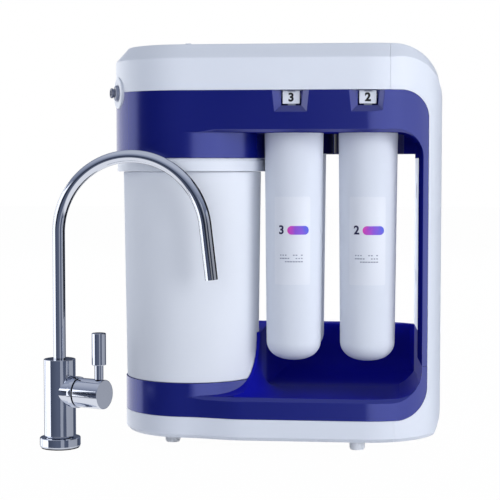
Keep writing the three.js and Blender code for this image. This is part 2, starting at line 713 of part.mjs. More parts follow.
function driveOutline(clearance = 0) {
  const radius = DRIVE_RADIUS + clearance;
  const flat = DRIVE_FLAT + clearance;
  const limit = Math.asin(flat / radius);
  const shape = new THREE.Shape();
  shape.absarc(0, 0, radius, -limit, limit);
  shape.absarc(0, 0, radius, Math.PI - limit, Math.PI + limit);
  return shape;
}

function cartridgeNeck() {
  const plugRadius = CARTRIDGE_HIGH_RADIUS - CARTRIDGE_WALL - GAP;
  const cap = turned([
    [0, CARTRIDGE_TOP - 4],
    [plugRadius, CARTRIDGE_TOP - 4],
    [plugRadius, CARTRIDGE_TOP + GAP],
    [CARTRIDGE_HIGH_RADIUS - 1, CARTRIDGE_TOP + GAP],
    [CARTRIDGE_HIGH_RADIUS - 3, CARTRIDGE_TOP + 3],
    [NECK_RADIUS, CARTRIDGE_TOP + 4],
    [NECK_RADIUS, NECK_TOP],
    [0, NECK_TOP],
  ], TURN);
  const drive = rise(driveOutline(), NECK_TOP - 1, DRIVE_TOP, 4);
  const lug = block(-LUG_REACH, LUG_REACH, -LUG_HALF, LUG_HALF, LUG_LOW, LUG_HIGH);
  return cut(join(cap, drive, lug), rod(NECK_BORE, CARTRIDGE_TOP - 5, DRIVE_TOP + 1, SMALL_TURN));
}

function cartridgeCore() {
  const radius = CARTRIDGE_LOW_RADIUS - CARTRIDGE_WALL - 2;
  const low = CARTRIDGE_LOW + CARTRIDGE_DOME + 2;
  return tube(radius, CORE_BORE, low, CARTRIDGE_TOP - 6, SMALL_TURN + 2);
}

function valveRing() {
  const low = HEAD_LOW + GAP;
  const ring = rod(RING_RADIUS, low, HEAD_HIGH, TURN);
  const pocket = rod(LUG_REACH + 0.7, low - 1, NECK_TOP + GAP, TURN);
  return cut(ring, pocket, rise(driveOutline(DRIVE_PLAY), NECK_TOP, HEAD_HIGH + 1, 4));
}

function socket(side) {
  const high = HEAD_LOW - GAP;
  if (side < 0) {
    return tube(FRONT_SOCKET_RADIUS, SOCKET_MOUTH, FRONT_SOCKET_LOW, high, TURN);
  }
  return turned([
    [REAR_SOCKET_BORE, APRON_LOW],
    [REAR_SOCKET_RADIUS - 1, APRON_LOW],
    [REAR_SOCKET_RADIUS, APRON_LOW + 2],
    [REAR_SOCKET_RADIUS, high],
    [SOCKET_MOUTH, high],
    [SOCKET_MOUTH, high - 4],
    [REAR_SOCKET_BORE, high - 4],
    [REAR_SOCKET_BORE, APRON_LOW],
  ], TURN + 4);
}

function manifoldHead() {
  const outline = roundedRectangle(-8, -70, 146, 70, 20, 20, 20, 6);
  const plate = rise(outline, HEAD_LOW, HEAD_HIGH, 3);
  const tankRoom = rod(LEFT_RADIUS + 1, 0, FAR, BIG_TURN, TANK_X, TANK_Y);
  const holeRadius = RING_RADIUS + 0.4;
  const ringHole = ({ x, y }) => rod(holeRadius, HEAD_LOW - 1, HEAD_HIGH + 1, TURN, x, y);
  return cut(plate, tankRoom, ...STATIONS.map(ringHole));
}

function releaseButton() {
  const half = BUTTON_WIDE / 2;
  const face = roundedRectangle(-half, 0, half, BUTTON_TALL, 1, 1, 1, 1);
  return runBack(face, 0, BUTTON_DEEP, 2);
}

function buttonSpring() {
  const middle = SPRING_TALL / 2;
  const inner = SPRING_BOW - SPRING_LEAF;
  const ends = [[SPRING_LEAF, SPRING_TALL], [0, SPRING_TALL], [inner, middle]];
  const bow = polygon([[0, 0], [SPRING_LEAF, 0], [SPRING_BOW, middle], ...ends]);
  return runAcross(bow, -SPRING_HALF, SPRING_HALF);
}

// Side port

function portEscutcheon() {
  const bore = PORT_BODY_RADIUS + GAP;
  return turned([
    [bore, -ESCUTCHEON_DEEP],
    [ESCUTCHEON_RADIUS, -ESCUTCHEON_DEEP],
    [ESCUTCHEON_RADIUS, ESCUTCHEON_FACE - ESCUTCHEON_EASE],
    [ESCUTCHEON_RADIUS - ESCUTCHEON_EASE, ESCUTCHEON_FACE],
    [bore, ESCUTCHEON_FACE],
    [bore, -ESCUTCHEON_DEEP],
  ], TURN + 4);
}

function portBody() {
  const bore = COLLET_RADIUS + GAP;
  return turned([
    [bore, -PORT_BODY_DEEP],
    [PORT_BODY_RADIUS, -PORT_BODY_DEEP],
    [PORT_BODY_RADIUS, PORT_BODY_FACE - PORT_BODY_EASE],
    [PORT_BODY_RADIUS - PORT_BODY_EASE, PORT_BODY_FACE],
    [bore, PORT_BODY_FACE],
    [bore, -PORT_BODY_DEEP],
  ], TURN);
}

function portCollet() {
  return turned([
    [COLLET_BORE, -1],
    [COLLET_RADIUS, -1],
    [COLLET_RADIUS, COLLET_LIP_FROM - 0.4],
    [COLLET_LIP, COLLET_LIP_FROM],
    [COLLET_LIP, COLLET_FACE],
    [COLLET_BORE, COLLET_FACE],
    [COLLET_BORE, -1],
  ], TURN);
}

// Tap

function tapGasket() {
  return tube(TAP_BASE_RADIUS - 1.2, GASKET_BORE, 0, 1, TURN + 6);
}

function tapBase() {
  const low = 1 + GAP;
  return turned([
    [TAP_BASE_BORE, low],
    [TAP_BASE_RADIUS, low],
    [TAP_BASE_RADIUS, TAP_BASE_TOP - 1],
    [TAP_BASE_RADIUS - 1, TAP_BASE_TOP],
    [TAP_BASE_BORE, TAP_BASE_TOP],
    [TAP_BASE_BORE, low],
  ], TURN + 6);
}

// A body turned about Z, laid along the valve's axis
function alongValve(body) {
  const yaw = THREE.MathUtils.radToDeg(VALVE_YAW);
  return body.rotate([0, 90, 0]).rotate([0, 0, yaw]).translate([0, 0, VALVE_Z]);
}

function tapBody() {
  const low = TAP_BASE_TOP + GAP;
  const column = turned([
    [0, low],
    [TAP_BODY_RADIUS - 2, low],
    [TAP_BODY_RADIUS - 2, low + 1.5],
    [TAP_BODY_RADIUS, low + 1.5],
    [TAP_BODY_RADIUS, TAP_BODY_TOP - 1],
    [TAP_BODY_RADIUS - 1, TAP_BODY_TOP],
    [SPOUT_RADIUS + 3, TAP_BODY_TOP],
    [SPOUT_RADIUS + 3, TAP_BODY_TOP + 3],
    [0, TAP_BODY_TOP + 3],
  ], TURN + 6);
  const flange = BARREL_RADIUS + 1.2;
  const stub = turned([
    [0, 0],
    [STUB_RADIUS, 0],
    [STUB_RADIUS, STUB_FLANGE_FROM],
    [flange, STUB_FLANGE_FROM],
    [flange, STUB_END],
    [0, STUB_END],
  ], TURN);
  const spigot = rod(SPOUT_RADIUS + SPIGOT_PLAY, TAP_BODY_TOP - SPIGOT_DEPTH - 2, TAP_BODY_TOP + 20, TURN);
  const waterway = rod(WATERWAY_RADIUS, 0, TAP_BODY_TOP - SPIGOT_DEPTH, SMALL_TURN);
  const valveRoom = rod(VALVE_ROOM_RADIUS, VALVE_ROOM_FROM, STUB_END + 5, TURN);
  return cut(join(column, alongValve(stub)), spigot, waterway, alongValve(valveRoom));
}

function tapValveCore() {
  const low = VALVE_ROOM_FROM + 2;
  const radius = VALVE_ROOM_RADIUS - 0.4;
  return turned([
    [0, low],
    [radius, low],
    [radius, STUB_END - 3],
    [SPINDLE_RADIUS, STUB_END - 3],
    [SPINDLE_RADIUS, SPINDLE_END],
    [0, SPINDLE_END],
  ], TURN);
}

function tapBarrel() {
  return turned([
    [0, SPINDLE_END + 1],
    [SPINDLE_RADIUS + 0.4, SPINDLE_END + 1],
    [SPINDLE_RADIUS + 0.4, BARREL_FROM],
    [BARREL_RADIUS - 0.6, BARREL_FROM],
    [BARREL_RADIUS, BARREL_FROM + 0.6],
    [BARREL_RADIUS, BARREL_TO - 0.8],
    [BARREL_RADIUS - 0.8, BARREL_TO],
    [0, BARREL_TO],
  ], TURN + 6);
}

function tapLeverStem() {
  return rod(STEM_RADIUS, BARREL_RADIUS + GAP, STEM_TOP, SMALL_TURN);
}

function tapLeverGrip() {
  const low = STEM_TOP + GAP;
  return turned([
    [0, low],
    [GRIP_RADIUS - GRIP_EDGE, low],
    [GRIP_RADIUS, low + GRIP_EDGE],
    [GRIP_RADIUS, GRIP_TOP - GRIP_EDGE],
    [GRIP_RADIUS - GRIP_EDGE, GRIP_TOP],
    [0, GRIP_TOP],
  ], TURN);
}

class SpoutPath extends THREE.Curve {
  constructor() {
    super();
    this.start = TAP_BODY_TOP - SPIGOT_DEPTH;
    this.riser = SPOUT_BEND_Z - this.start;
    this.arc = SPOUT_BEND * SPOUT_SWEEP;
  }

  getPoint(t, target = new THREE.Vector3()) {
    const s = t * (this.riser + this.arc + SPOUT_TAIL);
    if (s <= this.riser) {
      return target.set(0, 0, this.start + s);
    }
    const turn = Math.min((s - this.riser) / SPOUT_BEND, SPOUT_SWEEP);
    const rest = Math.max(0, s - this.riser - this.arc);
    const x = SPOUT_BEND * (1 - Math.cos(turn)) + rest * Math.sin(turn);
    const z = SPOUT_BEND_Z + SPOUT_BEND * Math.sin(turn) + rest * Math.cos(turn);
    return target.set(x, 0, z);
  }
}

function tapSpout() {
  const section = new THREE.Shape();
  section.absarc(0, 0, SPOUT_RADIUS, 0, Math.PI * 2);
  const bore = new THREE.Path();
  bore.absarc(0, 0, SPOUT_BORE, 0, Math.PI * 2);
  section.holes.push(bore);
  const settings = { extrudePath: new SpoutPath(), steps: 24, curveSegments: 5, bevelEnabled: false };
  return solid(new THREE.ExtrudeGeometry(section, settings));
}

function tapOutlet() {
  return tube(SPOUT_BORE - GAP, OUTLET_BORE, 0, OUTLET_LONG, SMALL_TURN);
}

// Assembly

const waterFilter = new THREE.Group();
const unit = new THREE.Group();
const tap = new THREE.Group();
waterFilter.add(unit, tap);

function place(parent, name, body, finish, position = [0, 0, 0]) {
  const mesh = new THREE.Mesh(geometryOf(body), new THREE.MeshStandardMaterial(FINISH[finish]));
  mesh.name = name;
  mesh.position.set(...position);
  parent.add(mesh);
  return mesh;
}

place(unit, 'top_cover', topCover(), 'shell');
place(unit, 'right_side_shell', rightSideShell(), 'shell');
place(unit, 'base_pan', basePan(), 'shell');
place(unit, 'upper_housing', upperHousing(), 'navy');
place(unit, 'side_bezel', sideBezel(), 'navy');
place(unit, 'rear_liner', rearLiner(), 'shell');
place(unit, 'lower_tray', lowerTray(), 'navy');
place(unit, 'manifold_head', manifoldHead(), 'deepNavy');

for (const [corner, [x, y]] of Object.entries(FOOT_PLACES)) {
  const foot = rod(FOOT_RADIUS, 0, FOOT_HEIGHT - GAP, SMALL_TURN);
  place(unit, `foot_${corner}`, foot, 'pale', [x, y, 0]);
}

const tank = new THREE.Group();
tank.position.set(TANK_X, TANK_Y, 0);
unit.add(tank);
place(tank, 'tank_vessel', tankVessel(), 'white');
place(tank, 'tank_collar', tankCollar(), 'shell');
place(tank, 'tank_head', tankHead(), 'navy');
place(tank, 'tank_bladder', tankBladder(), 'rubber');

for (const { number, x, y, side } of STATIONS) {
  const station = new THREE.Group();
  station.position.set(x, y, 0);
  unit.add(station);
  place(station, `cartridge_${number}_shell`, cartridgeShell(), 'white');
  place(station, `cartridge_${number}_neck`, cartridgeNeck(), 'pale');
  place(station, `cartridge_${number}_core`, cartridgeCore(), 'carbon');
  place(station, `valve_ring_${number}`, valveRing(), 'grey');
  place(station, `socket_${number}`, socket(side), 'deepNavy');

  const buttonGroup = new THREE.Group();
  buttonGroup.position.set(x, side * BACK, BUTTON_LOW);
  buttonGroup.rotation.z = side > 0 ? Math.PI : 0;
  unit.add(buttonGroup);
  place(buttonGroup, `release_button_${number}`, releaseButton(), 'shell', [0, BUTTON_INSET, 0]);
  const springBack = BUTTON_INSET + BUTTON_DEEP + BUTTON_TRAVEL + GAP;
  place(buttonGroup, `button_spring_${number}`, buttonSpring(), 'steel', [0, springBack, -SPRING_SINK]);
}

const port = new THREE.Group();
port.position.set(PORT_X, PORT_Y, PORT_Z);
port.rotation.set(0, -Math.PI / 2, PORT_ANGLE_ABOUT_Z, 'ZYX');
unit.add(port);
place(port, 'port_escutcheon', portEscutcheon(), 'shell');
place(port, 'port_body', portBody(), 'grey');
place(port, 'port_collet', portCollet(), 'grey');

tap.position.set(TAP_X, TAP_Y, 0);
place(tap, 'tap_gasket', tapGasket(), 'rubber');
place(tap, 'tap_base', tapBase(), 'chrome');
place(tap, 'tap_body', tapBody(), 'chrome');

const spout = new THREE.Group();
spout.rotation.z = SPOUT_YAW;
tap.add(spout);
place(spout, 'tap_spout', tapSpout(), 'chrome');
const tip = new SpoutPath().getPoint(1);
const outlet = place(spout, 'tap_outlet', tapOutlet(), 'pale', tip.toArray());
outlet.rotation.y = SPOUT_SWEEP;
outlet.translateZ(-OUTLET_LONG - 1);

const valve = new THREE.Group();
valve.position.z = VALVE_Z;
valve.rotation.set(0, Math.PI / 2, VALVE_YAW, 'ZYX');
tap.add(valve);
place(valve, 'tap_valve_core', tapValveCore(), 'ceramic');
place(valve, 'tap_barrel', tapBarrel(), 'chrome');

const lever = new THREE.Group();
lever.position.z = VALVE_Z;
lever.rotation.z = VALVE_YAW;
tap.add(lever);
place(lever, 'tap_lever_stem', tapLeverStem(), 'chrome', [LEVER_AT, 0, 0]);
place(lever, 'tap_lever_grip', tapLeverGrip(), 'chrome', [LEVER_AT, 0, 0]);

// The origin is the middle of the underside of the whole object
waterFilter.updateMatrixWorld(true);
const bounds = new THREE.Box3().setFromObject(waterFilter, true);
const middle = bounds.getCenter(new THREE.Vector3());
waterFilter.position.set(-middle.x, -middle.y, -bounds.min.z);

export default waterFilter;
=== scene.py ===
"""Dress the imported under-sink water filter, and its tap, for rendering.

The unit's pieces are drawn in millimetres in the unit's own frame, where X runs to the right, Y to
the back and Z up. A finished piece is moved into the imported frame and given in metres.
"""

from __future__ import annotations

import json
import logging
import math
from dataclasses import dataclass
from enum import Enum
from typing import Any, Callable, Iterable, Sequence

import bmesh
import bpy
from mathutils import Matrix, Vector

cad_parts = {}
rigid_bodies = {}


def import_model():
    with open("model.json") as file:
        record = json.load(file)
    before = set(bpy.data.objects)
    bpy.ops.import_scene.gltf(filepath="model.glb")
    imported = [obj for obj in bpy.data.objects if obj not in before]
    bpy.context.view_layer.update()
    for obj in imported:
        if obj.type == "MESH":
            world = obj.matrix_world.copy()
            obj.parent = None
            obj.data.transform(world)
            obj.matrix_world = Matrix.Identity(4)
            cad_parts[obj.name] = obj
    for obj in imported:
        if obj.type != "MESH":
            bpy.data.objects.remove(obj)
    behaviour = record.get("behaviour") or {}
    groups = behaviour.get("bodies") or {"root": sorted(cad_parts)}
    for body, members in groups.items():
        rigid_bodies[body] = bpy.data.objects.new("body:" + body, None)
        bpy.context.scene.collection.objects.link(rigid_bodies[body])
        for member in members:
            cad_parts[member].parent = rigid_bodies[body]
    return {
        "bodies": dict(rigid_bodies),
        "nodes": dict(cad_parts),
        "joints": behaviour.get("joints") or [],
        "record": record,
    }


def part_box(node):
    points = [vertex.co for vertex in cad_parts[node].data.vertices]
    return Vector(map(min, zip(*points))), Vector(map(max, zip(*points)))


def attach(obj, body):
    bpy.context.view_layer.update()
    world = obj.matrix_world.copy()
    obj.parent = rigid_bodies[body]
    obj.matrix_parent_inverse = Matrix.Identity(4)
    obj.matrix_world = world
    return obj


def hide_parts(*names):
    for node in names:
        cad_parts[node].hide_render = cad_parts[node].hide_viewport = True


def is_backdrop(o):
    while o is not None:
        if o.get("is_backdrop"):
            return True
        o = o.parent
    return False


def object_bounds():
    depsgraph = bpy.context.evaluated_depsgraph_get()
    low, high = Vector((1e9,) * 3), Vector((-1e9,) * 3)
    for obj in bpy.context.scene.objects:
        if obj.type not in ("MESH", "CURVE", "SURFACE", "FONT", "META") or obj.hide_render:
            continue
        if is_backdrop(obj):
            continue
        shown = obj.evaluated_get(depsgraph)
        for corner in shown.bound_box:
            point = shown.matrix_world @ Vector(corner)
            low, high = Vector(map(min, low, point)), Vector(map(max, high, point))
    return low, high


LOG = logging.getLogger("water_filter")
MM = 0.001
GAP = 0.3
SEAM = 0.12
WALL = 3.0
FAR = 600.0
EVERYWHERE = (-FAR, FAR)
TINY = 1e-6
UP = Vector((0, 0, 1))

Point = tuple[float, float]
Outline = list[Point]
Colour = tuple[float, float, float]


def clamp(value: float, low: float = 0.0, high: float = 1.0) -> float:
    """Hold a value between two limits."""
    return max(low, min(high, value))


def linear(colour: Colour) -> tuple[float, float, float, float]:
    """Turn a screen's colour into scene values.

    Args:
        colour: Red, green and blue in steps of 0 to 255.

    Returns:
        The colour from 0 to 1, with an alpha of 1.
    """
    parts = [c / 255 for c in colour]
    curve = [c / 12.92 if c <= 0.04045 else ((c + 0.055) / 1.055) ** 2.4 for c in parts]
    return (curve[0], curve[1], curve[2], 1.0)


# Node trees


class Wire:
    """A socket of a node tree that can be used in Python expressions."""

    def __init__(self, graph: "Graph", socket: bpy.types.NodeSocket) -> None:
        """Keep the socket and the tree that it belongs to."""
        self.graph = graph
        self.socket = socket

    def maths(self, operation: str, *values: Any) -> "Wire":
        """Add a Math node."""
        inputs = dict(enumerate(values))
        return self.graph.node("ShaderNodeMath", {"operation": operation}, inputs)

    def __add__(self, other: Any) -> "Wire":
        """Add."""
        return self.maths("ADD", self, other)

    __radd__ = __add__

    def __mul__(self, other: Any) -> "Wire":
        """Multiply."""
        return self.maths("MULTIPLY", self, other)

    __rmul__ = __mul__

    def __sub__(self, other: Any) -> "Wire":
        """Subtract the other value."""
        return self.maths("SUBTRACT", self, other)

    def __rsub__(self, other: Any) -> "Wire":
        """Subtract from the other value."""
        return self.maths("SUBTRACT", other, self)

    def __truediv__(self, other: Any) -> "Wire":
        """Divide by the other value."""
        return self.maths("DIVIDE", self, other)

    def least(self, other: Any) -> "Wire":
        """Give the smaller of the two."""
        return self.maths("MINIMUM", self, other)

    def most(self, other: Any) -> "Wire":
        """Give the larger of the two."""
        return self.maths("MAXIMUM", self, other)

    def ramp(self, start: float, end: float) -> "Wire":
        """Go from 0 to 1 as the value goes from start to end."""
        inputs = {"Value": self, "From Min": start, "From Max": end}
        return self.graph.node("ShaderNodeMapRange", {"interpolation_type": "SMOOTHSTEP"}, inputs)


class Graph:
    """A node tree that is filled from Python."""

    def __init__(self, tree: bpy.types.NodeTree) -> None:
        """Keep the tree."""
        self.tree = tree

    def node(self, kind: str, settings: dict[str, Any], inputs: dict[Any, Any], output: Any = 0) -> Wire:
        """Add any node.

        Args:
            kind: The node's type.
            settings: Its own settings, which are set first; a ramp's stops are under "stops".
            inputs: Values or wires, by the socket's name or number.
            output: The name or number of the output to give back.

        Returns:
            That output as a wire.
        """
        node = self.tree.nodes.new(kind)
        for name, value in settings.items():
            if name == "stops":
                self._set_stops(node.color_ramp, value)
            else:
                setattr(node, name, value)
        for name, value in inputs.items():
            if isinstance(value, Wire):
                self.tree.links.new(value.socket, node.inputs[name])
            else:
                node.inputs[name].default_value = value
        return Wire(self, node.outputs[output])

    def _set_stops(self, ramp: bpy.types.ColorRamp, stops: Sequence[tuple[float, Any]]) -> None:
        """Give a colour ramp its stops.

        Args:
            ramp: The ramp.
            stops: Places from 0 to 1, each with its colour.
        """
        while len(ramp.elements) < len(stops):
            ramp.elements.new(0.5)
        for element, (place, colour) in zip(ramp.elements, stops):
            element.position = place
            element.color = colour


class Paint(Graph):
    """A material with one Principled shader."""

    def __init__(self, name: str) -> None:
        """Start a material.

        Args:
            name: The material's name.
        """
        self.material = bpy.data.materials.new(name)
        self.material.use_nodes = True
        super().__init__(self.material.node_tree)
        self.shader = self.tree.nodes["Principled BSDF"]

    def place(self) -> Wire:
        """Give the object coordinates."""
        return self.node("ShaderNodeTexCoord", {}, {}, "Object")

    def noise(self, scale: float, detail: float = 2.0, stretch: Colour = (1, 1, 1)) -> Wire:
        """Add a noise pattern on object coordinates."""
        spread = self.node("ShaderNodeMapping", {}, {"Vector": self.place(), "Scale": stretch})
        return self.node("ShaderNodeTexNoise", {}, {"Vector": spread, "Scale": scale, "Detail": detail})

    def mix(self, share: Any, first: Any, second: Any) -> Wire:
        """Mix two colours."""
        inputs = {"Factor": share, 6: first, 7: second}
        return self.node("ShaderNodeMix", {"data_type": "RGBA"}, inputs, 2)

    def bump(self, height: Wire, strength: float, distance: float) -> Wire:
        """Add a bump."""
        return self.node("ShaderNodeBump", {}, {"Height": height, "Strength": strength, "Distance": distance})

    def set(self, **sockets: Any) -> bpy.types.Material:
        """Set the shader's sockets, with _ for a space in their names.

        Args:
            sockets: Values or wires.

        Returns:
            The material.
        """
        for name, value in sockets.items():
            socket = self.shader.inputs[name.replace("_", " ")]
            if isinstance(value, Wire):
                self.tree.links.new(value.socket, socket)
            else:
                socket.default_value = value
        return self.material


# Finishes


@dataclass(frozen=True)
class MouldedPlastic:
    """Injection moulded plastic, with a faint flow in its colour and a fine skin."""

    name: str
    colour: Colour
    roughness: float = 0.3
    flow: float = 0.03
    skin: float = 0.00002
    fineness: float = 900.0
    gloss: float = 0.5
    index: float = 1.5
    sheen_tint: Colour = (1.0, 1.0, 1.0)
    clouds: float = 7.0
    cloud_spread: float = 0.08
    grain_spread: float = 0.06
    relief: float = 0.35

    def build(self) -> bpy.types.Material:
        """Make the material."""
        paint = Paint(self.name)
        cloud = paint.noise(self.clouds, 3.0)
        grain = paint.noise(self.fineness, 2.0)
        base = linear(self.colour)
        shades = [tuple(c * (1 + side * self.flow) for c in base[:3]) + (1.0,) for side in (-1, 1)]
        return paint.set(
            Base_Color=paint.mix(cloud, shades[0], shades[1]),
            Roughness=self.roughness + (cloud - 0.5) * self.cloud_spread + (grain - 0.5) * self.grain_spread,
            Normal=paint.bump(grain, self.relief, self.skin),
            IOR=self.index,
            Specular_IOR_Level=self.gloss,
            Specular_Tint=(*self.sheen_tint, 1.0),
        )


@dataclass(frozen=True)
class PlatedMetal:
    """Polished plating, with faint clouds and polishing lines in its gloss."""

    name: str
    colour: Colour
    roughness: float = 0.06
    lines: Colour = (1.0, 1.0, 40.0)
    clouds: float = 30.0
    fineness: float = 60.0
    dulled: float = 0.94
    cloud_spread: float = 0.03
    line_spread: float = 0.02
    relief: float = 0.06
    depth: float = 0.00002

    def build(self) -> bpy.types.Material:
        """Make the material."""
        paint = Paint(self.name)
        cloud = paint.noise(self.clouds)
        lines = paint.noise(self.fineness, stretch=self.lines)
        base = linear(self.colour)
        dull = tuple(c * self.dulled for c in base[:3]) + (1.0,)
        return paint.set(
            Base_Color=paint.mix(cloud, dull, base),
            Metallic=1.0,
            Roughness=self.roughness + (cloud - 0.5) * self.cloud_spread + (lines - 0.5) * self.line_spread,
            Normal=paint.bump(lines, self.relief, self.depth),
        )


@dataclass(frozen=True)
class GranularBlock:
    """Pressed grains, as in a filter block, or a rubber with fillers."""

    name: str
    colour: Colour
    light: Colour
    grain: float = 700.0
    roughness: float = 0.85
    depth: float = 0.0003
    dark_to: float = 0.4
    light_from: float = 0.7
    spread: float = 0.1
    relief: float = 0.5

    def build(self) -> bpy.types.Material:
        """Make the material."""
        paint = Paint(self.name)
        grains = paint.noise(self.grain, 4.0)
        share = grains.ramp(self.dark_to, self.light_from)
        return paint.set(
            Base_Color=paint.mix(share, linear(self.colour), linear(self.light)),
            Roughness=self.roughness + (grains - 0.5) * self.spread,
            Normal=paint.bump(grains, self.relief, self.depth),
        )


@dataclass(frozen=True)
class PrintedLabel:
    """Satin film with a faint weave of print in it."""

    name: str
    colour: Colour
    fineness: float = 1500.0
    dulled: float = 0.97
    roughness: float = 0.36
    spread: float = 0.1
    relief: float = 0.2
    depth: float = 0.00001

    def build(self) -> bpy.types.Material:
        """Make the material."""
        paint = Paint(self.name)
        fibre = paint.noise(self.fineness)
        base = linear(self.colour)
        shade = tuple(c * self.dulled for c in base[:3]) + (1.0,)
        return paint.set(
            Base_Color=paint.mix(fibre, shade, base),
            Roughness=self.roughness + (fibre - 0.5) * self.spread,
            Normal=paint.bump(fibre, self.relief, self.depth),
        )


@dataclass(frozen=True)
class BlendedInk:
    """Ink that runs through three colours from one end of a printed shape to the other."""

    name: str
    start: Colour
    middle: Colour
    end: Colour
    places: Colour = (0.38, 0.64, 0.95)
    clouds: float = 90.0
    waver: float = 0.35
    roughness: float = 0.32
    spread: float = 0.08

    def build(self) -> bpy.types.Material:
        """Make the material."""
        paint = Paint(self.name)
        chart = paint.node("ShaderNodeUVMap", {"uv_map": LabelPrint.UV_NAME}, {})
        along = paint.node("ShaderNodeSeparateXYZ", {}, {0: chart}, "X")
        cloud = paint.noise(self.clouds)
        stops = list(zip(self.places, [linear(colour) for colour in (self.start, self.middle, self.end)]))
        blend = paint.node("ShaderNodeValToRGB", {"stops": stops}, {0: along + (cloud - 0.5) * self.waver})
        return paint.set(Base_Color=blend, Roughness=self.roughness + (cloud - 0.5) * self.spread)


BLUE_SHEEN = (0.42, 0.48, 1.0)


class Finish(Enum):
    """Every finish that a piece may have."""

    SHELL = MouldedPlastic("shell_white", (214, 219, 229), 0.34)
    TANK = MouldedPlastic("tank_plastic", (214, 218, 226), 0.4, gloss=0.0)
    CARTRIDGE = MouldedPlastic("cartridge_plastic", (210, 215, 225), 0.36, gloss=0.0)
    BUTTON = MouldedPlastic("button_plastic", (226, 230, 238), 0.35)
    LINER = MouldedPlastic("liner_white", (214, 219, 229), 0.4)
    # Whiter than the shell: painted light that lifts the shade under the base off the feet.
    FOOT = MouldedPlastic("foot_plastic", (238, 241, 246), 0.55, 0.04, 0.00005, gloss=0.0)
    NAVY = MouldedPlastic("frame_navy", (2, 11, 104), 0.24, 0.06, gloss=0.9, index=1.7, sheen_tint=BLUE_SHEEN)
    # Lighter navy for the tray's faces inside the bay: painted light that lifts the shade in the bay.
    BAY_NAVY = MouldedPlastic("bay_navy", (17, 20, 150), 0.46, 0.06, gloss=0.03)
    # Matte navy, lighter than NAVY, for the housing's faces inside the bay: the lighter colour is painted
    # light for the shade there.
    DULL_NAVY = MouldedPlastic("bay_dull_navy", (20, 24, 122), 0.6, 0.06, gloss=0.0)
    DEEP_NAVY = MouldedPlastic("socket_navy", (10, 12, 84), 0.45, 0.08, gloss=0.1)
    PORT = MouldedPlastic("port_acetal", (128, 135, 156), 0.35, 0.05)
    COLLET = MouldedPlastic("collet_grey", (96, 102, 122), 0.35, 0.05)
    NECK = MouldedPlastic("neck_plastic", (206, 211, 220), 0.4)
    RING = MouldedPlastic("valve_ring_grey", (115, 122, 145), 0.4, 0.06)
    CERAMIC = MouldedPlastic("valve_ceramic", (233, 228, 218), 0.22, 0.02)
    CHROME = PlatedMetal("tap_chrome", (214, 219, 230), 0.05)
    STEEL = PlatedMetal("spring_strip", (170, 174, 182), 0.28, (60.0, 1.0, 1.0))
    RUBBER = GranularBlock("seal_rubber", (26, 27, 30), (44, 45, 50), 2500.0, 0.75, 0.00004)
    CARBON = GranularBlock("core_carbon", (30, 31, 34), (70, 71, 76))
    LABEL = PrintedLabel("label_film", (216, 220, 229))
    INK = PrintedLabel("label_dark_ink", (34, 30, 74))
    GREY_INK = PrintedLabel("label_grey_ink", (138, 144, 162))
    BLACK_INK = PrintedLabel("button_black_ink", (16, 16, 20))
    BLEND_INK = BlendedInk("label_blend_ink", (214, 62, 176), (128, 68, 200), (58, 76, 206))

    def material(self) -> bpy.types.Material:
        """Give the finish's material, made once."""
        return bpy.data.materials.get(self.value.name) or self.value.build()


# Outlines


def arc(centre: Point, radius: float, start: float, end: float, step: float = 3.0) -> Outline:
    """Points along an arc.

    Args:
        centre: Its centre.
        radius: Its radius.
        start: Its first angle in degrees.
        end: Its last angle in degrees.
        step: The turn between points in degrees.

    Returns:
        The points, with both ends.
    """
    count = max(2, round(abs(end - start) / step))
    angles = [math.radians(start + (end - start) * i / count) for i in range(count + 1)]
    return [(centre[0] + radius * math.cos(a), centre[1] + radius * math.sin(a)) for a in angles]


def rounded(low: Point, high: Point, radii: Sequence[float], step: float = 3.0) -> Outline:
    """A rectangle with its own radius at each corner.

    Args:
        low: The lower left corner.
        high: The upper right corner.
        radii: The radii from the lower left corner, counter-clockwise.
        step: The turn between points in degrees.

    Returns:
        Its outline.
    """
    corners = [low, (high[0], low[1]), high, (low[0], high[1])]
    points: Outline = []
    for i, ((x, y), radius) in enumerate(zip(corners, radii)):
        centre = (x + (radius if i in (0, 3) else -radius), y + (radius if i < 2 else -radius))
        points += arc(centre, radius, 180 + 90 * i, 270 + 90 * i, step)
    return points


def stepped(start: Point, *turns: float) -> Outline:
    """Draw a profile that runs square to the axis and along it by turns.

    Args:
        start: Its first radius and height.
        turns: The next radius, the height after that, and so on.

    Returns:
        Its corners.
    """
    points = [start]
    for i, value in enumerate(turns):
        radius, height = points[-1]
        points.append((radius, value) if i % 2 else (value, height))
    return points


def bowed(first: Vector, corner: Vector, last: Vector, steps: int) -> list[Vector]:
    """Round a corner with a curve."""
    shares = [k / steps for k in range(steps + 1)]
    return [first * (1 - t) ** 2 + corner * (2 * t * (1 - t)) + last * t**2 for t in shares]


def eased(profile: Outline, ease: float, steps: int = 3, most: float = 0.45) -> Outline:
    """Round the corners of a profile that stand clear of the axis.

    Args:
        profile: Radii and heights, closed by itself.
        ease: How far from a corner its rounding starts.
        steps: The number of its faces.
        most: How much of a side a rounding may take.

    Returns:
        The rounded profile.
    """
    points: Outline = []
    for i, corner in enumerate(profile):
        here = Vector(corner)
        before = Vector(profile[i - 1]) - here
        after = Vector(profile[(i + 1) % len(profile)]) - here
        if here.x < TINY or min(before.length, after.length) < TINY:
            points.append(corner)
            continue
        reach = min(ease, before.length * most, after.length * most)
        first = here + before.normalized() * reach
        last = here + after.normalized() * reach
        points += [(spot.x, spot.y) for spot in bowed(first, here, last, steps)]
    return points


# Moves and objects


def shifted(x: float = 0.0, y: float = 0.0, z: float = 0.0) -> Matrix:
    """Make a move along the axes."""
    return Matrix.Translation((x, y, z))


def turned_about(axis: str, degrees: float) -> Matrix:
    """Make a turn about an axis."""
    return Matrix.Rotation(math.radians(degrees), 4, axis)


